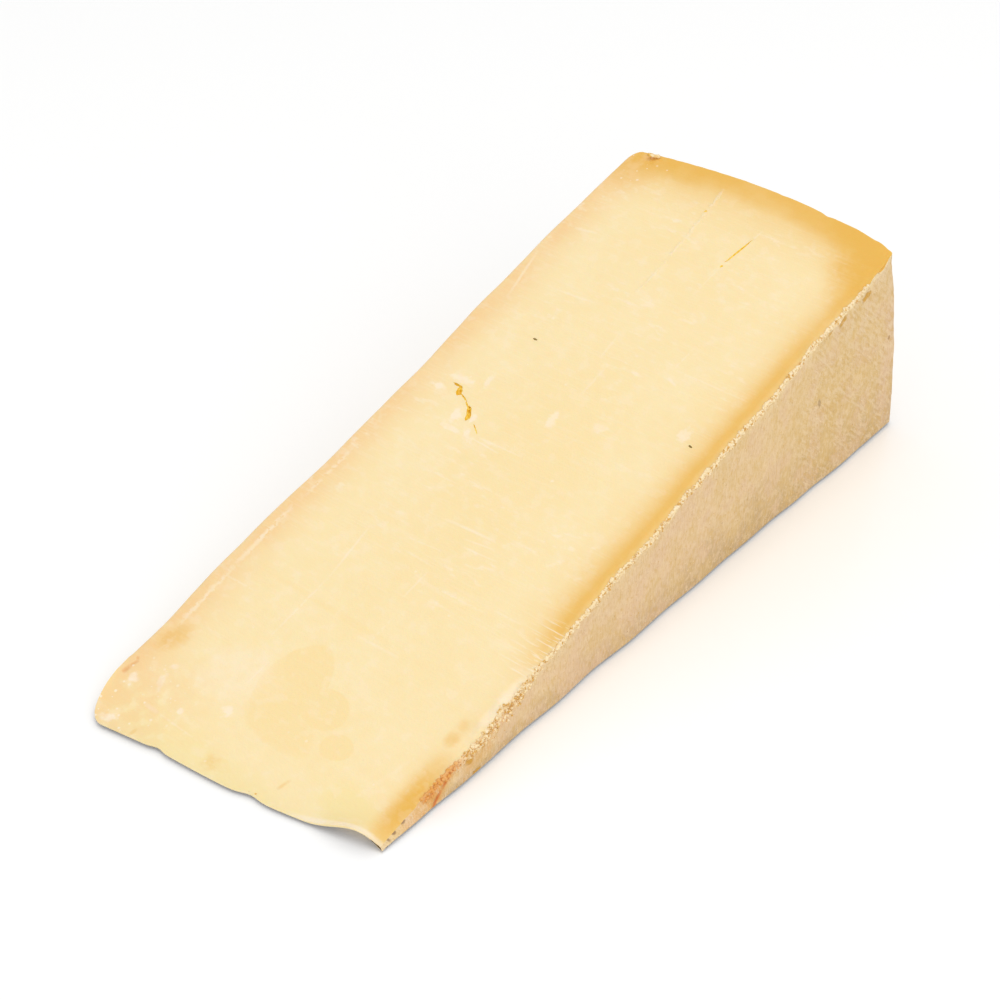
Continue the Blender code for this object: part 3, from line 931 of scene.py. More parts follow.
def wedge_relief_tree():
    """Fine relief: lumps all over the rind, faint ripples on the cut, and a finish for each."""
    tree, build, entry, leave = new_geometry_tree(
        "wedge relief", rind_depth=FLOAT, rind_size=FLOAT, cut_depth=FLOAT, cut_size=FLOAT, seed=INTEGER,
        **dict.fromkeys(FINISHES, MATERIAL),
    )

    def lumps(size, depth, detail, share):
        inputs = {"Detail": detail, "W": entry["seed"]}
        texture = build.add("ShaderNodeTexNoise", inputs, noise_dimensions="4D")
        build.feed(texture.inputs["Scale"], build.math("DIVIDE", 1.0, size))
        build.feed(texture.inputs["Vector"], build.add("GeometryNodeInputPosition").outputs[0])
        swing = build.math("MULTIPLY_ADD", texture.outputs[0], 2.0, -1.0)
        return build.times(swing, depth, share)

    rind = attribute(build, "rind_share")
    loose = attribute(build, "loose_share")
    cut = build.math("SUBTRACT", 1.0, rind)
    rise = build.math(
        "ADD",
        lumps(entry["rind_size"], entry["rind_depth"], 4.0, rind),
        lumps(entry["cut_size"], entry["cut_depth"], 1.0, cut),
    )
    rise = build.math("MULTIPLY", rise, loose)
    normal = build.add("GeometryNodeInputNormal").outputs[0]
    offset = build.scaled(normal, rise)
    moved = build.add("GeometryNodeSetPosition", {"Geometry": entry["Geometry"], "Offset": offset})
    whole = build.add("GeometryNodeRealizeInstances", {"Geometry": moved.outputs[0]})
    finished = whole.outputs[0]
    for number, name in enumerate(FINISHES):
        chosen = build.math("COMPARE", attribute(build, "finish"), float(number), 0.5)
        inputs = {"Geometry": finished, "Selection": chosen, "Material": entry[name]}
        finished = build.add("GeometryNodeSetMaterial", inputs).outputs[0]
    build.feed(leave["Geometry"], finished)
    return tree


def store(data, name, domain, values):
    layer = data.attributes.new(name, "FLOAT", domain)
    layer.data.foreach_set("value", values)


def add_foot(form, shares, places, faces):
    """Gives the lower cut a narrow slope along its outline, so only its middle rests on the floor."""
    outline = faces.pop()
    inset = (FOOT_INSET / form.height, FOOT_INSET / form.radius)
    inner = []
    for corner in outline:
        across, along = (margin + (1 - 2 * margin) * share for margin, share in zip(inset, shares[corner]))
        inner.append(len(shares))
        shares.append((across, along, 0.0))
        place = form.place(across, along, 0.0)
        places.append(Vector((place.x, place.y, max(0.0, place.z - FOOT_GAP))))
    for first in range(len(outline)):
        second = (first + 1) % len(outline)
        faces.append([outline[first], outline[second], inner[second], inner[first]])
    faces.append(inner)


def finish_of(face, vertices, on_rind):
    """The number of a face's finish: a zone of the paste, or the rind after them."""
    if len(face) == 4 and all(on_rind[corner] for corner in face):
        return float(FINISHES.index("rind"))
    along = (vertices[face[0]].co.y + ORIGIN_ALONG) / MILLIMETRE
    return float(next(number for number, zone in enumerate(PASTE_ZONES.values()) if along < zone[1]))


def wedge_blank(form, sizes):
    """The whole wedge as one closed mesh, with the rind's share stored on it."""
    across = stations((0.012, 4), (0.040, 4), (0.10, 5), (0.90, sizes.cells_across), (0.97, 9), (1.0, 8))
    along = stations((0.055, 18), (1.0, sizes.cells_along))
    up = stations((0.72, sizes.cells_up), (1.0, 22))
    shares, faces = block_skin(across, along, up)
    places = [form.place(*share) for share in shares]
    foot_start = len(faces) - 1
    add_foot(form, shares, places, faces)
    data = bpy.data.meshes.new("wedge_blank")
    data.from_pydata(places, [], faces)
    data.validate()
    on_rind = [min(x, 1 - x, 1 - y) < 1e-5 for x, y, z in shares]
    store(data, "rind_share", "POINT", [float(mark) for mark in on_rind])
    store(data, "loose_share", "POINT", [min(1.0, z * 8) for x, y, z in shares])
    finish = [finish_of(face, data.vertices, on_rind) for face in faces]
    # The narrow rim of the lower cut gets the painted shade finish.
    finish[foot_start:-1] = [float(FINISHES.index("foot_shade"))] * (len(faces) - 1 - foot_start)
    store(data, "finish", "FACE", finish)
    return new_object("wedge_blank", data)


def crack_cutters(form, lining, pit_lining):
    """One rough spindle for each crack, half way into the upper cut. Pits have a duller lining."""
    cutters = bpy.data.collections.new("crack cutters")
    bpy.context.scene.collection.children.link(cutters)
    for name, ((x, y), length, width, depth, heading) in CRACKS.items():
        spindle = bmesh.new()
        bmesh.ops.create_icosphere(spindle, subdivisions=3, radius=1)
        turn = Matrix.Rotation(form.cut_angle, 4, "X") @ Matrix.Rotation(math.radians(heading), 4, "Z")
        move = Matrix.Translation(form.on_cut(x, y)) @ turn
        for vertex in spindle.verts:
            in_noise = vertex.co / CRACK_ROUGHNESS_SIZE + Vector((x, y, 0)) / MILLIMETRE
            rough = vertex.co + noise.noise_vector(in_noise) * CRACK_ROUGHNESS
            deep = rough.z * depth * CRACK_DEPTH_SHOWN
            vertex.co = move @ Vector((rough.x * length / 2, rough.y * width / 2, deep))
        data = bpy.data.meshes.new(name)
        spindle.to_mesh(data)
        spindle.free()
        data.materials.append(pit_lining if name.startswith("pit") else lining)
        cutters.objects.link(bpy.data.objects.new(name, data))
    return cutters


class CHEESE_OT_make_finishes(Operator):
    """Build the shared shader groups and the materials of the wedge"""

    bl_idname = "cheese.make_finishes"
    bl_label = "Make finishes"

    def execute(self, context):
        colours = context.scene.cheese_colours
        groups = finish_groups()
        for name, zone in PASTE_ZONES.items():
            paste_finish(name, zone, colours, groups)
        rind_finish(colours, groups)
        lining_finish("eye_lining", colours.lining, colours.lining_deep, groups)
        lining_finish("pit_lining", colours.pit, colours.pit, groups)
        # Painted shade: a dark finish on the lower cut's narrow rim, for the shadow at the floor.
        lining_finish("foot_shade", colours.foot_shade, colours.foot_shade, groups, 0.95, 0.05)
        lining_finish("flake", colours.honey, colours.crumb, groups, 0.6, 0.3)
        crumb_finish(colours, groups)
        return {"FINISHED"}


class CHEESE_OT_make_wedge(Operator):
    """Make the wedge's body, with its cracks cut open"""

    bl_idname = "cheese.make_wedge"
    bl_label = "Make wedge"

    def execute(self, context):
        sizes = context.scene.cheese_sizes
        noise.seed_set(NOISE_SEED)
        form = WedgeForm(sizes)
        lining = bpy.data.materials["eye_lining"]
        pit_lining = bpy.data.materials["pit_lining"]
        finishes = {name: bpy.data.materials[name] for name in FINISHES}
        blank = wedge_blank(form, sizes)
        for material in (*finishes.values(), lining, pit_lining):
            blank.data.materials.append(material)
        values = {
            "rind_depth": sizes.rind_grain_depth, "rind_size": sizes.rind_grain_size,
            "cut_depth": sizes.cut_ripple_depth, "cut_size": sizes.cut_ripple_size,
            "seed": NOISE_SEED, **finishes,
        }
        node_modifier(blank, wedge_relief_tree(), values)
        cutters = crack_cutters(form, lining, pit_lining)
        cut = blank.modifiers.new("cracks", "BOOLEAN")
        cut.operation = "DIFFERENCE"
        cut.operand_type = "COLLECTION"
        cut.collection = cutters
        cut.solver = "EXACT"
        cut.material_mode = "TRANSFER"
        body = new_object("wedge_body", plain_mesh("wedge_body", blank))
        body.data.shade_smooth()
        body.data.set_sharp_from_angle(angle=math.radians(40))
        for helper in (*cutters.objects, blank):
            bpy.data.objects.remove(helper, do_unlink=True)
        bpy.data.collections.remove(cutters)
        dress(body)
        return {"FINISHED"}


def crumbs_tree():
    """Rough crumbs along a path, each laid on the nearest surface of a body."""
    tree, build, entry, leave = new_geometry_tree(
        "crumbs", body="NodeSocketObject", count=INTEGER, smallest=FLOAT, largest=FLOAT, band=FLOAT,
        seed=INTEGER, material=MATERIAL,
    )

    def draw(low, high, shift, kind="FLOAT"):
        node = build.add("FunctionNodeRandomValue", data_type=kind)
        sockets = [socket for socket in node.inputs if socket.enabled]
        for socket, value in zip(sockets, (low, high)):
            build.feed(socket, value)
        build.feed(node.inputs["Seed"], build.math("ADD", entry["seed"], shift))
        return next(socket for socket in node.outputs if socket.enabled)

    curve = build.add("GeometryNodeMeshToCurve", {"Mesh": entry["Geometry"]})
    inputs = {"Curve": curve.outputs[0], "Count": entry["count"]}
    points = build.add("GeometryNodeCurveToPoints", inputs, mode="COUNT")
    reach = build.math("POWER", draw(0.0, 1.0, 1), 1.35)
    drop = build.math("MULTIPLY", build.times(reach, entry["band"], attribute(build, "spread")), -1.0)
    drop = build.math("ADD", drop, build.math("MULTIPLY", entry["band"], 0.12))
    drift = draw(-0.0012, 0.0012, 2)
    offset = build.add("ShaderNodeCombineXYZ", {"X": 0.0006, "Y": drift, "Z": drop})
    moved = {"Geometry": points.outputs[0], "Offset": offset.outputs[0]}
    dropped = build.add("GeometryNodeSetPosition", moved).outputs[0]
    body = build.add("GeometryNodeObjectInfo", {"Object": entry["body"]}, transform_space="RELATIVE")
    nearest = build.add("GeometryNodeProximity", {0: body.outputs["Geometry"]}, target_element="FACES")
    laid = build.add("GeometryNodeSetPosition", {"Geometry": dropped, "Position": nearest.outputs[0]})
    crumb = build.add("GeometryNodeMeshIcoSphere", {"Radius": 1.0, "Subdivisions": 1})
    skew = build.math("POWER", draw(0.0, 1.0, 3), 2.2)
    more = build.math("SUBTRACT", entry["largest"], entry["smallest"])
    radius = build.math("MULTIPLY_ADD", skew, more, entry["smallest"])
    shape = draw((0.65, 0.65, 0.65), (1.3, 1.3, 1.3), 4, "FLOAT_VECTOR")
    scale = build.scaled(shape, radius)
    turn = draw((0, 0, 0), (math.tau, math.tau, math.tau), 5, "FLOAT_VECTOR")
    scattered = build.add(
        "GeometryNodeInstanceOnPoints",
        {"Points": laid.outputs[0], "Instance": crumb.outputs[0], "Rotation": turn, "Scale": scale},
    )
    whole = build.add("GeometryNodeRealizeInstances", {"Geometry": scattered.outputs[0]})
    rough = build.add("ShaderNodeTexNoise", {"Scale": 2200.0, "Detail": 1.0}).outputs["Color"]
    rough = build.scaled(build.vector("SUBTRACT", rough, (0.5, 0.5, 0.5)), 0.0004)
    broken = build.add("GeometryNodeSetPosition", {"Geometry": whole.outputs[0], "Offset": rough})
    inputs = {"Geometry": broken.outputs[0], "Material": entry["material"]}
    build.feed(leave["Geometry"], build.add("GeometryNodeSetMaterial", inputs).outputs[0])
    return tree


# The crumbs lie along this stretch of the cut edge, and further down it where the edge broke
CRUMB_PATH_START = 0.075
CRUMB_PATH_SPAN = 0.885
CRUMB_PATH_STEPS = 240
CRUMB_SPREAD = 2.2


class CHEESE_OT_make_crumbs(Operator):
    """Lay the crumbs along the right cut edge"""

    bl_idname = "cheese.make_crumbs"
    bl_label = "Make crumbs"

    def execute(self, context):
        settings = context.scene.cheese_crumbs
        noise.seed_set(NOISE_SEED)
        form = WedgeForm(context.scene.cheese_sizes)
        steps = range(CRUMB_PATH_STEPS + 1)
        marks = [CRUMB_PATH_START + CRUMB_PATH_SPAN * step / CRUMB_PATH_STEPS for step in steps]
        path = bpy.data.meshes.new("cut_edge")
        places = [form.place(1, mark, 1) for mark in marks]
        path.from_pydata(places, [(step, step + 1) for step in steps[:-1]], [])
        off_break = [place.y + ORIGIN_ALONG - CRAG_BREAK_ALONG for place in places]
        spreads = [1 + CRUMB_SPREAD * near_edge(away, CRAG_BREAK_WIDTH) for away in off_break]
        store(path, "spread", "POINT", spreads)
        grow_piece(
            "edge_crumbs", new_object("cut_edge", path), crumbs_tree(),
            body=bpy.data.objects["wedge_body"], count=settings.count, smallest=settings.smallest,
            largest=settings.largest, band=settings.band, seed=settings.seed,
            material=bpy.data.materials["crumb"],
        )
        return {"FINISHED"}


def grains_tree():
    """Small flat grains, scattered over the rind and half sunk in it."""
    tree, build, entry, leave = new_geometry_tree(
        "rind grains", density=FLOAT, size=FLOAT, seed=INTEGER, material=MATERIAL,
    )
    chosen = build.math("COMPARE", attribute(build, "finish"), float(FINISHES.index("rind")), 0.5)
    points = build.add(
        "GeometryNodeDistributePointsOnFaces",
        {"Mesh": entry["Geometry"], "Selection": chosen, "Density": entry["density"], "Seed": entry["seed"]},
    )
    grain = build.add("GeometryNodeMeshIcoSphere", {"Radius": 1.0, "Subdivisions": 1})
    inputs = {2: 0.0, 3: 1.0, "Seed": entry["seed"]}
    draw = build.add("FunctionNodeRandomValue", inputs, data_type="FLOAT").outputs[1]
    share = build.math("MULTIPLY_ADD", build.math("POWER", draw, 3.0), 0.7, 0.3)
    radius = build.math("MULTIPLY", share, entry["size"])
    flat = build.math("MULTIPLY", radius, 0.4)
    scale = build.add("ShaderNodeCombineXYZ", {"X": radius, "Y": radius, "Z": flat})
    laid = build.add(
        "GeometryNodeInstanceOnPoints",
        {
            "Points": points.outputs["Points"], "Instance": grain.outputs[0],
            "Rotation": points.outputs["Rotation"], "Scale": scale.outputs[0],
        },
    )
    whole = build.add("GeometryNodeRealizeInstances", {"Geometry": laid.outputs[0]})
    inputs = {"Geometry": whole.outputs[0], "Material": entry["material"]}
    build.feed(leave["Geometry"], build.add("GeometryNodeSetMaterial", inputs).outputs[0])
    return tree


class CHEESE_OT_make_grains(Operator):
    """Scatter the rind's raised grains"""

    bl_idname = "cheese.make_grains"
    bl_label = "Make rind grains"

    def execute(self, context):
        settings = context.scene.cheese_crumbs
        source = new_object("grain_source", bpy.data.objects["wedge_body"].data.copy())
        grow_piece(
            "rind_grains", source, grains_tree(), density=settings.grain_density, size=settings.grain_size,
            seed=settings.seed, material=bpy.data.materials["rind"],
        )
        return {"FINISHED"}


# Loose flakes on the upper cut: place in the wheel, length, width, thickness, curl, turn
FLAKES = {
    "heel_flake": ((0.0096, 0.2628), 0.0042, 0.0020, 0.0011, 0.25, (-4, 6, 40)),
    "chip_flake": ((0.0668, -0.0068), 0.0026, 0.0008, 0.0003, 0.5, (8, -6, 14)),
}


def curled_chip(chip, length, width, thickness, curl, to_place):
    """Adds one bent chip with thin edges to a mesh in the making."""
    steps, sides = 8, 4
    rings = []
    for step in range(steps + 1):
        share = step / steps
        bow = curl * (share - 0.5)
        middle = Vector((length * (share - 0.5), 0, length * bow * (share - 0.5)))
        half = width / 2 * math.sin(math.pi * (0.08 + 0.84 * share)) ** 0.6
        ring = []
        for side in range(2 * sides):
            angle = math.tau * side / (2 * sides)
            rise = thickness / 2 * math.sin(angle)
            ring.append(middle + Vector((0, half * math.cos(angle), rise)))
        rough = [place + noise.noise_vector(place * 900) * thickness * 0.5 for place in ring]
        rings.append([chip.verts.new(to_place @ place) for place in rough])
    for lower, upper in zip(rings, rings[1:]):
        for side in range(2 * sides):
            after = (side + 1) % (2 * sides)
            chip.faces.new((lower[side], lower[after], upper[after], upper[side]))
    chip.faces.new(rings[0][::-1])
    chip.faces.new(rings[-1])


class CHEESE_OT_make_flakes(Operator):
    """Make the flakes that the knife lifted at the heel and along the tip"""

    bl_idname = "cheese.make_flakes"
    bl_label = "Make flakes"

    def execute(self, context):
        noise.seed_set(NOISE_SEED)
        form = WedgeForm(context.scene.cheese_sizes)
        chips = bmesh.new()
        for (x, y), length, width, thickness, curl, turn in FLAKES.values():
            rotation = Euler([math.radians(each) for each in turn]).to_matrix().to_4x4()
            to_place = Matrix.Translation(form.on_cut(x, y, thickness)) @ rotation
            curled_chip(chips, length, width, thickness, curl, to_place)
        bmesh.ops.recalc_face_normals(chips, faces=chips.faces[:])
        data = bpy.data.meshes.new("flakes")
        chips.to_mesh(data)
        chips.free()
        data.materials.append(bpy.data.materials["flake"])
        flakes = new_object("flakes", data)
        flakes.data.shade_smooth()
        dress(flakes)
        return {"FINISHED"}


def new_material(name, roughness, specular):
    """A material with its shader, whose plain values are set on the shader itself."""
    material = bpy.data.materials.new(name)
    material.use_nodes = True
    shader = material.node_tree.nodes["Principled BSDF"]
    shader.inputs["Roughness"].default_value = roughness
    shader.inputs["Specular IOR Level"].default_value = specular
    return material, Builder(material.node_tree), shader


def soften(shader, weight, depth):
    """Lets light into the paste, further in red than in blue."""
    shader.inputs["Subsurface Weight"].default_value = weight
    shader.inputs["Subsurface Radius"].default_value = (1.0, 0.6, 0.3)
    shader.inputs["Subsurface Scale"].default_value = depth


def wheel_place(build, groups):
    """The outputs of the shared group that places a material in the wheel."""
    sizes = bpy.context.scene.cheese_sizes
    point = build.add("ShaderNodeTexCoord").outputs["Object"]
    origin = (sizes.wheel_height / 2, ORIGIN_ALONG, 0)
    return build.group(
        groups["wheel_place"], point=point, origin=origin, radius=sizes.wheel_radius / MILLIMETRE
    )


def specks(build, groups, place, spacing, size, share, shift=0):
    """The mask of the shared group's specks, moved aside so that each use has its own."""
    return build.group(
        groups["specks"], place=place, spacing=spacing, size=size, share=share, shift=(shift, shift, shift)
    )["Mask"]


def add_bump(build, shader, height, strength, distance):
    bump = build.add("ShaderNodeBump", {"Height": height, "Strength": strength, "Distance": distance})
    build.feed(shader.inputs["Normal"], bump.outputs[0])


class Marks:
    """Lays blotches and scratches over one face: the cut, seen from above, or the rind, from its side."""

    def __init__(self, build, groups, place, axes):
        self.build = build
        self.groups = groups
        self.axes = [Vector(axis) for axis in axes]
        self.place = build.vector("MULTIPLY", place, tuple(self.axes[0] + self.axes[1]))
        waves = [build.noise(build.vector("ADD", place, (shift, 0, 0)), 2.5) for shift in (0, 40, 80)]
        centred = [build.math("SUBTRACT", wave, 0.5) for wave in waves]
        self.drift = build.add("ShaderNodeCombineXYZ", dict(enumerate(centred))).outputs[0]
        self.broken = build.noise(place, 1.6)
        self.slow_wave = build.math("MULTIPLY_ADD", build.noise(place, 9), 3.0, -1.5)
        self.quick_wave = build.math("MULTIPLY_ADD", build.noise(place, 2.2), 3.0, -1.5)

    def most(self, masks):
        """The strongest of several masks."""
        strongest = next(masks)
        for mask in masks:
            strongest = self.build.math("MAXIMUM", strongest, mask)
        return strongest

    def spot(self, first, second):
        """A place on the face, from its measures along the face's two axes."""
        return self.axes[0] * first + self.axes[1] * second

    def blotch(self, first, second, half_first, half_second, turn, softness, wander, strength):
        turn = math.radians(turn)
        sine, cosine = math.sin(turn), math.cos(turn)
        mask = self.build.group(
            self.groups["blotch"], place=self.place, centre=self.spot(first, second),
            first_axis=self.spot(cosine, sine) / half_first,
            second_axis=self.spot(-sine, cosine) / half_second, softness=softness, wander=wander,
            wave=self.slow_wave if max(half_first, half_second) > SLOW_WAVE_FROM else self.quick_wave,
        )["Mask"]
        return self.build.math("MULTIPLY", mask, strength)

    def blotches(self, table, colours, base, share=1.0):
        """Lays each colour's blotches over the base."""
        for colour, rows in table.items():
            mask = self.most(self.blotch(*row) for row in rows.values())
            base = self.build.mix(self.build.times(mask, share), base, getattr(colours, colour))
        return base

    def scratch(self, first, second, end_first, end_second, width, wander, gaps, strength):
        mask = self.build.group(
            self.groups["scratch"], place=self.place, start=self.spot(first, second),
            end=self.spot(end_first, end_second), width=width, drift=self.drift,
            wander=wander, broken=self.broken, gaps=gaps,
        )["Mask"]
        return self.build.math("MULTIPLY", mask, strength)

    def scratches(self, table):
        return self.most(self.scratch(*row) for row in table.values())


def in_zone(zone, low, high):
    """Whether a mark that runs along the wedge from low to high reaches into a stretch of it."""
    return low < zone[1] + ZONE_MARGIN and high > zone[0] - ZONE_MARGIN


def blotches_in(zone):
    """The blotches of the cut that reach into a stretch of the wedge, by colour."""
    kept = {}
    for colour, rows in PASTE_BLOTCHES.items():
        for name, row in rows.items():
            reach = BLOTCH_REACH * max(row[2:4])
            if in_zone(zone, row[1] - reach, row[1] + reach):
                kept.setdefault(colour, {})[name] = row
    return kept


def scratches_in(zone, table):
    """The scratches of a table that reach into a stretch of the wedge."""
    return {
        name: row for name, row in table.items()
        if in_zone(zone, min(row[1], row[3]), max(row[1], row[3]))
    }


def paste_finish(name, zone, colours, groups):
    """The cut paste: pale in the middle, honey coloured under the rind, scuffed by the knife."""
    material, build, shader = new_material(name, 0.5, 0.35)
    soften(shader, 0.15, 0.003)
    at = wheel_place(build, groups)
    place = at["Place"]
    across = at["Across"]
    along = at["Along"]
    slow = build.noise(place, 22, 3)
    warp = build.math("MULTIPLY_ADD", build.noise(place, 14, 4), 5.0, -4.2)
    under_rim = build.share_of(build.math("ADD", at["Under rim"], warp), 26.0)
    heel = build.ramp(under_rim, HEEL_RIPENESS)
    height = bpy.context.scene.cheese_sizes.wheel_height / MILLIMETRE
    from_right = build.math("SUBTRACT", height, across)
    right_warp = build.math("MULTIPLY_ADD", build.noise(place, 9, 3), 2.0, -1.0)
    right_share = build.share_of(build.math("ADD", from_right, right_warp), 20.0)
    right = build.ramp(right_share, RIGHT_RIPENESS)
    strong = [(place / ALONG_SPAN, share) for place, share in RIGHT_RIPENESS_ALONG]
    right = build.times(right, build.ramp(build.share_of(along, ALONG_SPAN), strong))
    left_share = build.share_of(build.math("ADD", across, right_warp), 18.0)
    left = build.ramp(left_share, LEFT_PEACH)
    left = build.times(left, build.smooth(slow, 0.3, 0.6, 0.7, 1.0))
    pale = build.times(build.math("SUBTRACT", 1.0, heel), build.math("SUBTRACT", 1.0, right))
    ripe = build.math("SUBTRACT", 1.0, pale)
    base = build.mix(build.smooth(slow, 0.35, 0.7, 0.0, 0.35), colours.paste, colours.wet)
    base = build.mix(left, base, colours.peach)
    base = build.mix(ripe, base, colours.honey)
    marks = Marks(build, groups, place, ((1, 0, 0), (0, 1, 0)))
    base = marks.blotches(blotches_in(zone), colours, base, at["Facing up"])
    scratches = build.times(marks.scratches(scratches_in(zone, PASTE_SCRATCHES)), at["Facing up"])
    base = build.mix(scratches, base, colours.bloom_and_highlight)
    seam = None
    if scratches_in(zone, SEAM):
        seam = marks.scratches(SEAM)
        # Partly painted highlight: the seam's pale line, its own pale tone with the ridge's lit side painted
        # in.
        base = build.mix(build.times(seam, 0.6), base, colours.bloom_and_highlight)
    folds = None
    if scratches_in(zone, TIP_FOLDS):
        folds = marks.scratches(TIP_FOLDS)
        base = build.mix(folds, base, colours.fold)
    unripe = build.math("SUBTRACT", 1.0, ripe)
    scuffs = build.smooth(build.noise(place, 2.6, 5, (0.5, 1.0, 1.0)), 0.55, 0.70)
    worn = build.smooth(build.noise(place, 30, 2), 0.46, 0.62)
    scuffs = build.times(scuffs, worn, build.smooth(ripe, 0.5, 0.1), 0.2 if name == "paste_tip" else 0.55)
    base = build.mix(scuffs, base, colours.bloom_and_highlight)
    mottle = build.noise(build.vector("ADD", place, (13, 7, 3)), 4.5, 5)
    base = build.mix(build.times(build.smooth(mottle, 0.5, 0.66, 0.0, 0.25), unripe), base, colours.wet)
    base = build.mix(build.times(build.smooth(mottle, 0.46, 0.34, 0.0, 0.2), unripe), base, colours.bloom_and_highlight)
    chatter = build.noise(place, 0.8, 2, (0.06, 1.0, 1.0))
    right_edge = build.smooth(from_right, 16, 3)
    band = build.times(right_edge, build.smooth(along, 60, 66), build.smooth(along, 92, 82))
    knife = build.math("MULTIPLY_ADD", band, 0.6, build.times(unripe, 0.06 if name == "paste_tip" else 0.14))
    base = build.mix(build.times(build.smooth(chatter, 0.50, 0.68), knife), base, colours.bloom_and_highlight)
    spots = specks(build, groups, place, 7.0, 0.7, 0.22)
    base = build.mix(build.times(spots, 0.6), base, colours.bloom_and_highlight)
    if name in CORNER_BLOOM:
        start, full, width = CORNER_BLOOM[name]
        corner = build.times(build.smooth(along, start, full), build.smooth(across, width, width * 0.4))
        dots = specks(build, groups, place, 1.9, 0.55, 0.5, 2)
        base = build.mix(build.times(corner, build.smooth(mottle, 0.3, 0.6), 0.5), base, colours.peach)
        base = build.mix(build.times(dots, corner, 0.85), base, colours.bloom_and_highlight)
    build.feed(shader.inputs["Base Color"], base)
    grain = build.noise(place, 0.9, 3)
    height = build.math("MULTIPLY_ADD", chatter, 0.6, grain)
    if seam:
        height = build.math("MULTIPLY_ADD", seam, 4.0, height)
    if folds:
        height = build.math("MULTIPLY_ADD", folds, -2.0, height)
    add_bump(build, shader, height, 0.3, 0.0003)
    rough = build.smooth(build.noise(place, 12, 3), 0.3, 0.7, 0.42, 0.58)
    build.feed(shader.inputs["Roughness"], rough)
    return material


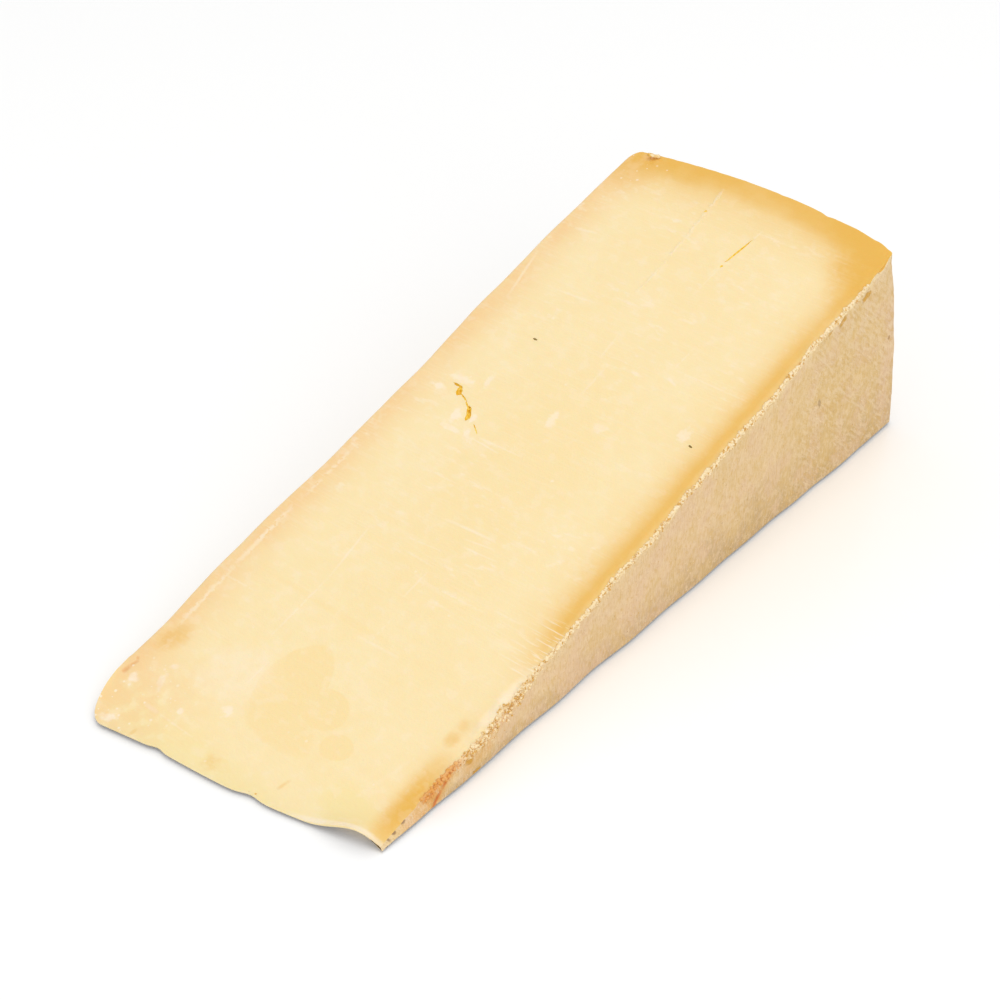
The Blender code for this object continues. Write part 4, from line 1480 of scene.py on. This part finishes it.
def rind_finish(colours, groups):
    """The dry rind: fibres, the weave of a cloth near the heel, flecks, pits and stains, with painted shade
    towards the lower cut and painted light under the cut edge.
    """
    material, build, shader = new_material("rind", 0.85, 0.2)
    at = wheel_place(build, groups)
    place = at["Place"]
    slope = math.tan(bpy.context.scene.cheese_sizes.cut_angle)
    thick = build.math("MULTIPLY_ADD", at["Along"], slope, 1.2)
    share = build.share_of(at["Up"], thick)
    below = build.math("SUBTRACT", thick, at["Up"])
    # Painted shade: the rind is painted darker towards the lower cut, fading out at about half its height.
    drift = build.math("MULTIPLY_ADD", build.noise(place, 12, 4), 0.5, -0.25)
    high = build.smooth(build.math("ADD", share, drift), 0.0, 0.55)
    base = build.mix(high, colours.rind_shaded_low, colours.rind)
    # Painted light: the rind is painted paler within 9 mm under the cut edge, along a ragged line drawn by
    # the noise below.
    worn = build.math("MULTIPLY_ADD", build.noise(place, 3.5, 4), 5.0, -2.5)
    lit_top = build.smooth(build.math("ADD", below, worn), 9.0, 0.0, 0.0, 0.85)
    base = build.mix(lit_top, base, colours.rind_lit_top)
    marks = Marks(build, groups, place, ((0, 1, 0), (0, 0, 1)))
    right_face = build.smooth(at["Across"], 50, 70)
    base = marks.blotches(RIND_BLOTCHES, colours, base, right_face)
    mottle = build.noise(place, 2.2, 5)
    base = build.mix(build.smooth(mottle, 0.5, 0.62, 0.0, 0.4), base, colours.rind_pale)
    base = build.mix(build.smooth(mottle, 0.48, 0.36, 0.0, 0.4), base, colours.rind_dull)
    tone = build.noise(build.vector("ADD", place, (31, 17, 5)), 11, 5)
    base = build.mix(build.smooth(tone, 0.5, 0.62, 0.0, 0.45), base, colours.pink)
    base = build.mix(build.smooth(tone, 0.48, 0.38, 0.0, 0.35), base, colours.olive)
    fibres = build.group(groups["fibres"], place=place, squeeze=(1, 1, 0.22), size=0.55)["Height"]
    base = build.mix(build.smooth(fibres, 0.51, 0.66, 0.0, 0.5), base, colours.rind_dull)
    base = build.mix(build.smooth(fibres, 0.49, 0.34, 0.0, 0.5), base, colours.rind_pale)
    for spacing, size, chosen, shift, colour, strength in (
        (1.5, 0.36, 0.45, 3, colours.rind_pale, 0.75),
        (1.9, 0.40, 0.45, 9, colours.mustard, 0.75),
        (6.5, 0.50, 0.30, 17, colours.brown, 0.6),
    ):
        mask = specks(build, groups, place, spacing, size, chosen, shift)
        base = build.mix(build.times(mask, strength), base, colour)
    rag = build.math("MULTIPLY_ADD", build.noise(place, 1.6, 3), 2.4, -1.2)
    off_tip = build.smooth(at["Along"], 36, 50)
    wide = build.smooth(at["Along"], 150, 210, 0.0, 1.3)
    bead = build.smooth(build.math("SUBTRACT", build.math("ADD", below, rag), wide), 3.2, 1.4)
    base = build.mix(build.times(bead, off_tip, 0.8), base, colours.crumb)
    holes = specks(build, groups, place, 2.2, 1.0, 0.7, 8)
    base = build.mix(build.times(holes, build.smooth(below, 4.6, 3.2), off_tip, 0.9), base, colours.gold)
    golden = build.times(marks.most(marks.blotch(*row) for row in RIND_PITS.values()), right_face)
    base = build.mix(golden, base, colours.gold)
    base = marks.blotches(RIND_SPOTS, colours, base, right_face)
    relief = build.math("MULTIPLY_ADD", fibres, 1.0, build.noise(place, 0.7, 4))
    relief = build.math("MULTIPLY_ADD", golden, -1.5, relief)
    cracks = build.times(marks.scratches(RIND_CRACKS), right_face)
    base = build.mix(cracks, base, colours.ember)
    relief = build.math("SUBTRACT", relief, cracks)
    patches = build.smooth(build.noise(place, 9, 2), 0.3, 0.55)
    weave_zone = build.times(build.smooth(at["Along"], 195, 225), patches)
    weave = build.group(
        groups["fibres"], place=place, turn=(math.radians(-48), 0, 0), squeeze=(0.3, 1, 0.22), size=1.2
    )["Height"]
    relief = build.math("MULTIPLY_ADD", build.times(weave, weave_zone), 2.0, relief)
    base = build.mix(build.times(build.smooth(weave, 0.52, 0.62), weave_zone, 0.5), base, colours.rind_dull)
    base = build.mix(build.times(build.smooth(weave, 0.5, 0.38), weave_zone, 0.6), base, colours.rind_pale)
    build.feed(shader.inputs["Base Color"], base)
    pits = specks(build, groups, place, 1.7, 0.5, 0.5, 5)
    relief = build.math("MULTIPLY_ADD", pits, -0.5, relief)
    add_bump(build, shader, relief, 0.68, 0.0006)
    return material


def lining_finish(name, bright, deep, groups, roughness=0.4, specular=0.4):
    """Uneven bare paste: the moist walls of the cracks and the flakes. It also paints the shade on the lower
    cut's narrow rim.
    """
    material, build, shader = new_material(name, roughness, specular)
    place = wheel_place(build, groups)["Place"]
    tone = build.smooth(build.noise(place, 1.2, 3), 0.4, 0.6)
    build.feed(shader.inputs["Base Color"], build.mix(tone, bright, deep))
    add_bump(build, shader, build.noise(place, 0.5, 3), 0.3, 0.0002)
    return material


def crumb_finish(colours, groups):
    """Broken crumbs of paste, some of them golden."""
    material, build, shader = new_material("crumb", 0.6, 0.3)
    at = wheel_place(build, groups)
    place = at["Place"]
    gold = build.smooth(build.noise(place, 1.2, 3), 0.52, 0.60)
    base = build.mix(build.times(gold, 0.85), colours.crumb, colours.gold)
    pale = build.smooth(build.noise(build.vector("ADD", place, (9, 4, 2)), 1.1, 3), 0.5, 0.62)
    base = build.mix(build.times(pale, 0.5), base, colours.bloom_and_highlight)
    tan = build.times(build.smooth(at["Along"], 74, 60), build.smooth(build.noise(place, 2.4, 3), 0.4, 0.6))
    base = build.mix(build.times(tan, build.smooth(at["Across"], 85, 95), 0.45), base, colours.gold)
    rust = build.times(build.smooth(at["Along"], 38, 30, 0.0, 0.8), build.smooth(at["Across"], 85, 95))
    base = build.mix(rust, base, colours.rust)
    build.feed(shader.inputs["Base Color"], base)
    return material


# The two soft lights: the length of a side, and the place
KEY_SIZE = 2.4
KEY_PLACE = Vector((0.55, -0.1, 3.3))
FILL_SIZE = 1.2
FILL_PLACE = Vector((1.5, -0.9, 0.9))
FLOOR_HALF_SIZE = 4


def make_softbox(name, power, size, place):
    """A square soft light that is turned to the middle of the floor."""
    data = bpy.data.lights.new(name, "AREA")
    data.energy = power
    data.shape = "SQUARE"
    data.size = size
    lamp = new_object(name, data)
    lamp.location = place
    lamp.rotation_euler = (-place).to_track_quat("-Z", "Y").to_euler()


class CHEESE_OT_make_stage(Operator):
    """Set up the pale floor, the soft lights and the camera"""

    bl_idname = "cheese.make_stage"
    bl_label = "Make stage"

    def execute(self, context):
        settings = context.scene.cheese_stage
        lens = bpy.data.cameras.new("camera")
        lens.lens = settings.lens
        lens.clip_start = 0.01
        camera = new_object("camera", lens)
        camera.location = settings.camera_place
        camera.rotation_euler = settings.camera_turn
        context.scene.camera = camera
        sheet = bmesh.new()
        bmesh.ops.create_grid(sheet, x_segments=1, y_segments=1, size=FLOOR_HALF_SIZE)
        data = bpy.data.meshes.new("floor")
        sheet.to_mesh(data)
        sheet.free()
        material, _, shader = new_material("floor", 0.25, 0.5)
        shader.inputs["Base Color"].default_value = (*settings.floor, 1)
        shader.inputs["Emission Color"].default_value = (1, 1, 1, 1)
        shader.inputs["Emission Strength"].default_value = settings.floor_glow
        data.materials.append(material)
        new_object("floor", data)
        world = bpy.data.worlds.new("studio")
        world.use_nodes = True
        world.node_tree.nodes["Background"].inputs["Color"].default_value = (1, 1, 1, 1)
        world.node_tree.nodes["Background"].inputs["Strength"].default_value = settings.sky
        context.scene.world = world
        make_softbox("key_light", settings.key_power, KEY_SIZE, KEY_PLACE)
        make_softbox("fill_light", settings.fill_power, FILL_SIZE, FILL_PLACE)
        context.scene.view_settings.view_transform = "Standard"
        return {"FINISHED"}


STEPS = (
    CHEESE_OT_make_finishes,
    CHEESE_OT_make_wedge,
    CHEESE_OT_make_crumbs,
    CHEESE_OT_make_grains,
    CHEESE_OT_make_flakes,
    CHEESE_OT_make_stage,
)


class CHEESE_PT_panel(Panel):
    """Lists the steps that make the wedge, with its settings"""

    bl_label = "Cheese wedge"
    bl_idname = "CHEESE_PT_panel"
    bl_space_type = "VIEW_3D"
    bl_region_type = "UI"
    bl_category = "Cheese"

    def draw(self, context):
        for step in STEPS:
            self.layout.operator(step.bl_idname)
        for name in SETTINGS:
            box = self.layout.box()
            settings = getattr(context.scene, name)
            for key in settings.bl_rna.properties.keys():
                if key not in ("rna_type", "name"):
                    box.prop(settings, key)


SETTINGS = {
    "cheese_sizes": CheeseSizes,
    "cheese_colours": CheeseColours,
    "cheese_crumbs": CrumbSettings,
    "cheese_stage": StageSettings,
}


def register():
    for each in (*SETTINGS.values(), *STEPS, CHEESE_PT_panel):
        bpy.utils.register_class(each)
    for name, group in SETTINGS.items():
        setattr(bpy.types.Scene, name, PointerProperty(type=group))


def unregister():
    for name in SETTINGS:
        delattr(bpy.types.Scene, name)
    for each in reversed((*SETTINGS.values(), *STEPS, CHEESE_PT_panel)):
        bpy.utils.unregister_class(each)


def main():
    register()
    bpy.ops.cheese.make_finishes()
    bpy.ops.cheese.make_wedge()
    bpy.ops.cheese.make_crumbs()
    bpy.ops.cheese.make_grains()
    bpy.ops.cheese.make_flakes()
    bpy.ops.cheese.make_stage()


if __name__ == "__main__":
    main()
